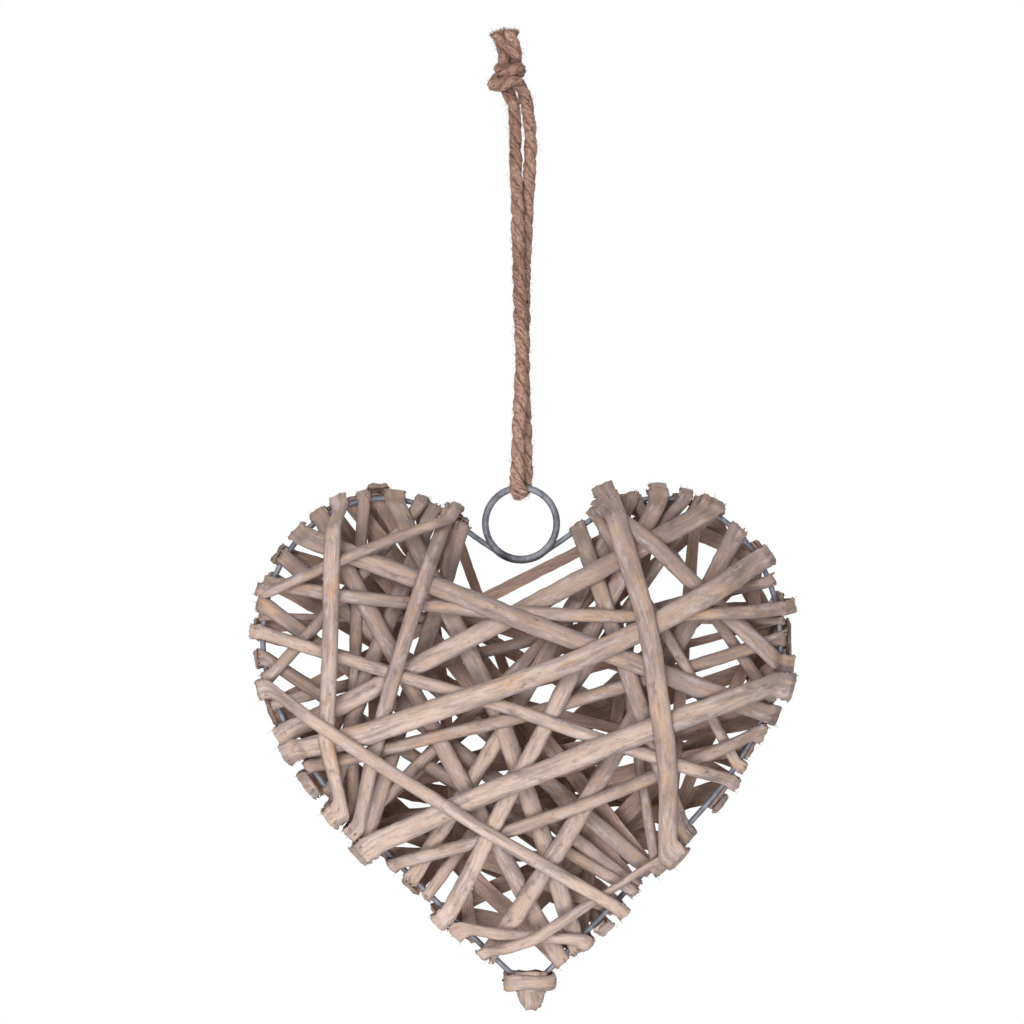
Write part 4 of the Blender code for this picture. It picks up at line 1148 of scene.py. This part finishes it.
class WILLOWHEART_OT_strips(PieceOperator, bpy.types.Operator):
    """Split the willow and wind it round the frame"""
    bl_idname = "willowheart.strips"
    bl_label = "Willow strips"

    def execute(self, context):
        material = washed_willow(context.scene.willow_strips)
        work = Work()
        rng = np.random.default_rng(36)
        for number, (start, turn, width, bow) in enumerate(LACING, 1):
            groups = work.hairpin(start, turn, width * 0.001, bow * 0.001)
            on_top = number / len(LACING)
            # Painted shade: strips laid earlier lie under the later ones, so their tone is set darker; the
            # random part is each strip's own tone.
            tone = 0.12 + 0.56 * on_top + rng.uniform(-0.20, 0.20)
            skin = Split(groups, number).skin(tone, rng.uniform(0, 1) ** 2)
            skin.make(f"washed_strip_{number:02d}", material, "willow", [f"willow_strip_{number:02d}"])
        return {"FINISHED"}


class WILLOWHEART_OT_point(PieceOperator, bpy.types.Operator):
    """Fold a strip under the heart's point and bind it"""
    bl_idname = "willowheart.point"
    bl_label = "Folded strip and binding at the point"

    def execute(self, context):
        material = bpy.data.materials["washed_willow"]
        line = Outline().points
        tip = line[int(line[:, 1].argmin())]
        self.fold(tip, material)
        self.binding(tip, material)
        return {"FINISHED"}

    def fold(self, tip, material):
        """A short strip, doubled over below the wire's point."""
        inner = FRAME_WIRE / 2 + GAP
        top = tip[1] + BAND_TOP + TIP_STRIP_RISE
        low = tip[1] - TIP_STRIP_DROP + TIP_STRIP_THICKNESS + inner
        path = [(-inner, top, -1.0, 0.0), (-inner, tip[1], -1.0, 0.0)]
        for angle in range(0, 181, 20):
            turn = math.radians(angle)
            path.append((-inner * math.cos(turn), low - inner * math.sin(turn), -math.cos(turn),
                         -math.sin(turn)))
        path += [(inner, tip[1], 1.0, 0.0), (inner, top, 1.0, 0.0)]
        sections = []
        for y, z, out_y, out_z in path:
            share = min(1.0, max(0.0, (tip[1] - z) / TIP_STRIP_DROP))
            half = TIP_STRIP_WIDTH / 2 * (1 - POINT_TAPER * share ** 2.5)
            sections.append((Vector((tip[0] + TIP_STRIP_SHIFT, y, z)), Vector((half, 0, 0)),
                             Vector((0, out_y, out_z)) * TIP_STRIP_THICKNESS))
        skin = Split(([], sections[:2], sections[2:-2], sections[-2:], []), 61).skin(0.20, 0.3)
        for points in skin.points:
            across = (points[:, 0] - tip[0] - TIP_STRIP_SHIFT) / (TIP_STRIP_WIDTH / 2)
            lower = np.clip((tip[1] - LOOP_DROP - points[:, 2]) / TIP_STRIP_DROP, 0, 1)
            points[:, 2] += lower * (POINT_ROUNDING * across ** 4 + POINT_RIPPLE * np.sin(9 * across + 1))
        skin.make("point_fold", material, "willow", ["tip_fold"])

    def binding(self, tip, material):
        """A strip wound a turn and a bit round the wires, its end tucked behind."""
        half_x = (BAND_TOP + FRAME_WIRE / 2) * TIP_FLARE + FRAME_WIRE / 2 + 3 * GAP
        half_y = FRAME_WIRE / 2 + TIP_STRIP_THICKNESS + 2 * GAP
        sections = []
        for angle in range(BAND_FROM, BAND_TO + 1, BAND_EACH):
            turn = math.radians(angle)
            out = Vector((math.cos(turn), math.sin(turn), 0))
            lap = BAND_LAP * (angle - BAND_FROM) / (BAND_TO - BAND_FROM)
            middle = Vector((tip[0] + math.copysign(abs(out.x) ** BAND_SQUARENESS, out.x) * (half_x + lap),
                             math.copysign(abs(out.y) ** BAND_SQUARENESS, out.y) * (half_y + lap),
                             tip[1] + BAND_TOP - BAND_HEIGHT / 2 + BAND_WAVE * math.sin(3 * turn + 0.6)
                             + BAND_CLIMB * (angle / 200)))
            half = BAND_HEIGHT / 2 * (1 + 0.08 * math.sin(2 * turn + 1) + 0.06 * math.sin(5 * turn))
            sections.append((middle, Vector((0, 0, half)), out * BAND_WALL * BAND_THINNED))
        skin = Split(([], sections, [], [], []), 62).skin(0.22, 0.6)
        skin.make("point_binding", material, "willow", ["tip_binding"])


class WILLOWHEART_OT_twine(PieceOperator, bpy.types.Operator):
    """Lead the doubled twine through the ring"""
    bl_idname = "willowheart.twine"
    bl_label = "Jute loop"

    def execute(self, context):
        sizes = context.scene.willow_jute
        material = jute_fibre(sizes)
        wire_z = -LOOP_DROP + (RING_DIAMETER - RING_WIRE) / 2
        reach = RING_WIRE / 2 + PRESSED_TWINE / 2
        down, up = metres(ROUTE_DOWN), metres(ROUTE_UP)
        bend = []
        for k in range(BEND_STEPS + 1):
            share = k / BEND_STEPS
            bend.append((down[-1][0] * (1 - share) + up[0][0] * share, -reach * math.cos(math.pi * share),
                         wire_z - reach * math.sin(math.pi * share)))
        rope = Rope(down + bend + up, sizes.thickness / 2, start_turn=0.6, seed=5)
        skin = Skin()
        rope.add_to(skin, closeness=0.9, pressed=0.40)
        twine = skin.make("twisted_twine", material, "jute", ["jute_loop"])
        fibres = Skin()
        rope.fuzz(fibres, sizes.loose_fibres, FUZZ_LENGTH)
        fibres.make("loose_fibres", material, "jute", [])
        return {"FINISHED"}


class WILLOWHEART_OT_knot(PieceOperator, bpy.types.Operator):
    """Tie the overhand knot and fray its two ends"""
    bl_idname = "willowheart.knot"
    bl_label = "Overhand knot"

    def execute(self, context):
        sizes = context.scene.willow_jute
        skin = Skin()
        for route, seed in ((KNOT_LEFT, 11), (KNOT_RIGHT, 12)):
            rope = Rope(metres(route), sizes.thickness / 2, start_turn=seed, seed=seed)
            rope.add_to(skin, closeness=0.8, flare=0.22)
            rope.fuzz(skin, KNOT_FUZZ, KNOT_FUZZ_LENGTH)
            rope.brush(skin, BRUSH_FIBRES, BRUSH_LENGTH)
        skin.make("overhand_knot", jute_fibre(sizes), "jute", ["loop_knot"])
        return {"FINISHED"}


class WILLOWHEART_OT_studio(PieceOperator, bpy.types.Operator):
    """Set up the pale floor, the soft lights and the camera"""
    bl_idname = "willowheart.studio"
    bl_label = "Studio"

    def execute(self, context):
        sizes = context.scene.willow_studio
        take_alone()
        bpy.ops.mesh.primitive_circle_add(vertices=96, radius=FLOOR_RADIUS, fill_type="NGON",
                                          location=(0, 0, FLOOR_HEIGHT))
        floor = context.object
        floor.name = "floor"
        floor.data.materials.append(self.paint())
        for name, setting, location, size in LAMPS:
            self.light(name, location, size, getattr(sizes, setting))
        context.scene.world = self.world(sizes.ambient)
        self.camera(context.scene)
        context.scene.view_settings.view_transform = "Standard"
        return {"FINISHED"}

    def paint(self):
        """Seen white, and as a plain grey floor by the light that reaches the heart."""
        paint = Look(bpy.data.materials.new("white_floor"))
        seen = paint.node("ShaderNodeLightPath", {}, {})
        white = paint.node("ShaderNodeEmission", {}, {"Color": WHITE, "Strength": 1.0})
        paint.connect(paint.shader, {"Base Color": GREY, "Roughness": 1.0})
        plain = Value(paint, paint.shader.outputs[0])
        mixed = paint.node("ShaderNodeMixShader", {}, {0: seen, 1: plain, 2: white})
        paint.connect(paint.tree.nodes["Material Output"], {"Surface": mixed})
        return paint.owner

    def light(self, name, location, size, power):
        """A square soft lamp that faces the heart."""
        lamp = bpy.data.lights.new(name, "AREA")
        lamp.shape = "SQUARE"
        lamp.size = size
        lamp.energy = power
        thing = bpy.data.objects.new(name, lamp)
        bpy.context.collection.objects.link(thing)
        thing.location = location
        way = Vector(HEART_MIDDLE) - Vector(location)
        thing.rotation_euler = way.to_track_quat("-Z", "Y").to_euler()

    def world(self, ambient):
        """White where the camera sees it, and a softer grey as light."""
        sky = Look(bpy.data.worlds.new("Studio"), "Background")
        seen = sky.node("ShaderNodeLightPath", {}, {})
        share = sky.node("ShaderNodeMapRange", {}, {"Value": seen, "To Min": ambient, "To Max": 1.0})
        sky.connect(sky.shader, {"Color": WHITE, "Strength": share})
        return sky.owner

    def camera(self, scene):
        """A long lens, level with the middle of the loop and the heart."""
        lens = bpy.data.cameras.new("camera")
        lens.lens = CAMERA_LENS
        lens.sensor_width = 36.0
        lens.clip_end = 100.0
        eye = bpy.data.objects.new("camera", lens)
        bpy.context.collection.objects.link(eye)
        eye.location = CAMERA_AT
        eye.rotation_euler = (math.pi / 2, 0, 0)
        scene.camera = eye


SETTINGS = {"willow_strips": WillowSettings, "willow_wire": WireSettings,
            "willow_jute": JuteSettings, "willow_studio": StudioSettings}
OPERATORS = (WILLOWHEART_OT_studio, WILLOWHEART_OT_frame_wire, WILLOWHEART_OT_hanging_ring,
             WILLOWHEART_OT_strips, WILLOWHEART_OT_point, WILLOWHEART_OT_knot, WILLOWHEART_OT_twine)


class WILLOWHEART_PT_panel(bpy.types.Panel):
    """The heart's operators, in the order of making"""
    bl_label = "Willow heart"
    bl_space_type = "VIEW_3D"
    bl_region_type = "UI"
    bl_category = "Willow heart"

    def draw(self, context):
        for operator in OPERATORS:
            self.layout.operator(operator.bl_idname)
        for name in SETTINGS:
            settings = getattr(context.scene, name)
            box = self.layout.box()
            for key in settings.bl_rna.properties.keys():
                if key not in ("rna_type", "name"):
                    box.prop(settings, key)


CLASSES = (*SETTINGS.values(), *OPERATORS, WILLOWHEART_PT_panel)


def register():
    for group in CLASSES:
        bpy.utils.register_class(group)
    for name, group in SETTINGS.items():
        setattr(bpy.types.Scene, name, bpy.props.PointerProperty(type=group))


def unregister():
    for name in SETTINGS:
        delattr(bpy.types.Scene, name)
    for group in reversed(CLASSES):
        bpy.utils.unregister_class(group)


def main():
    """Make every piece and the stage."""
    register()
    for operator in OPERATORS:
        group, name = operator.bl_idname.split(".")
        getattr(getattr(bpy.ops, group), name)()


if __name__ == "__main__":
    main()
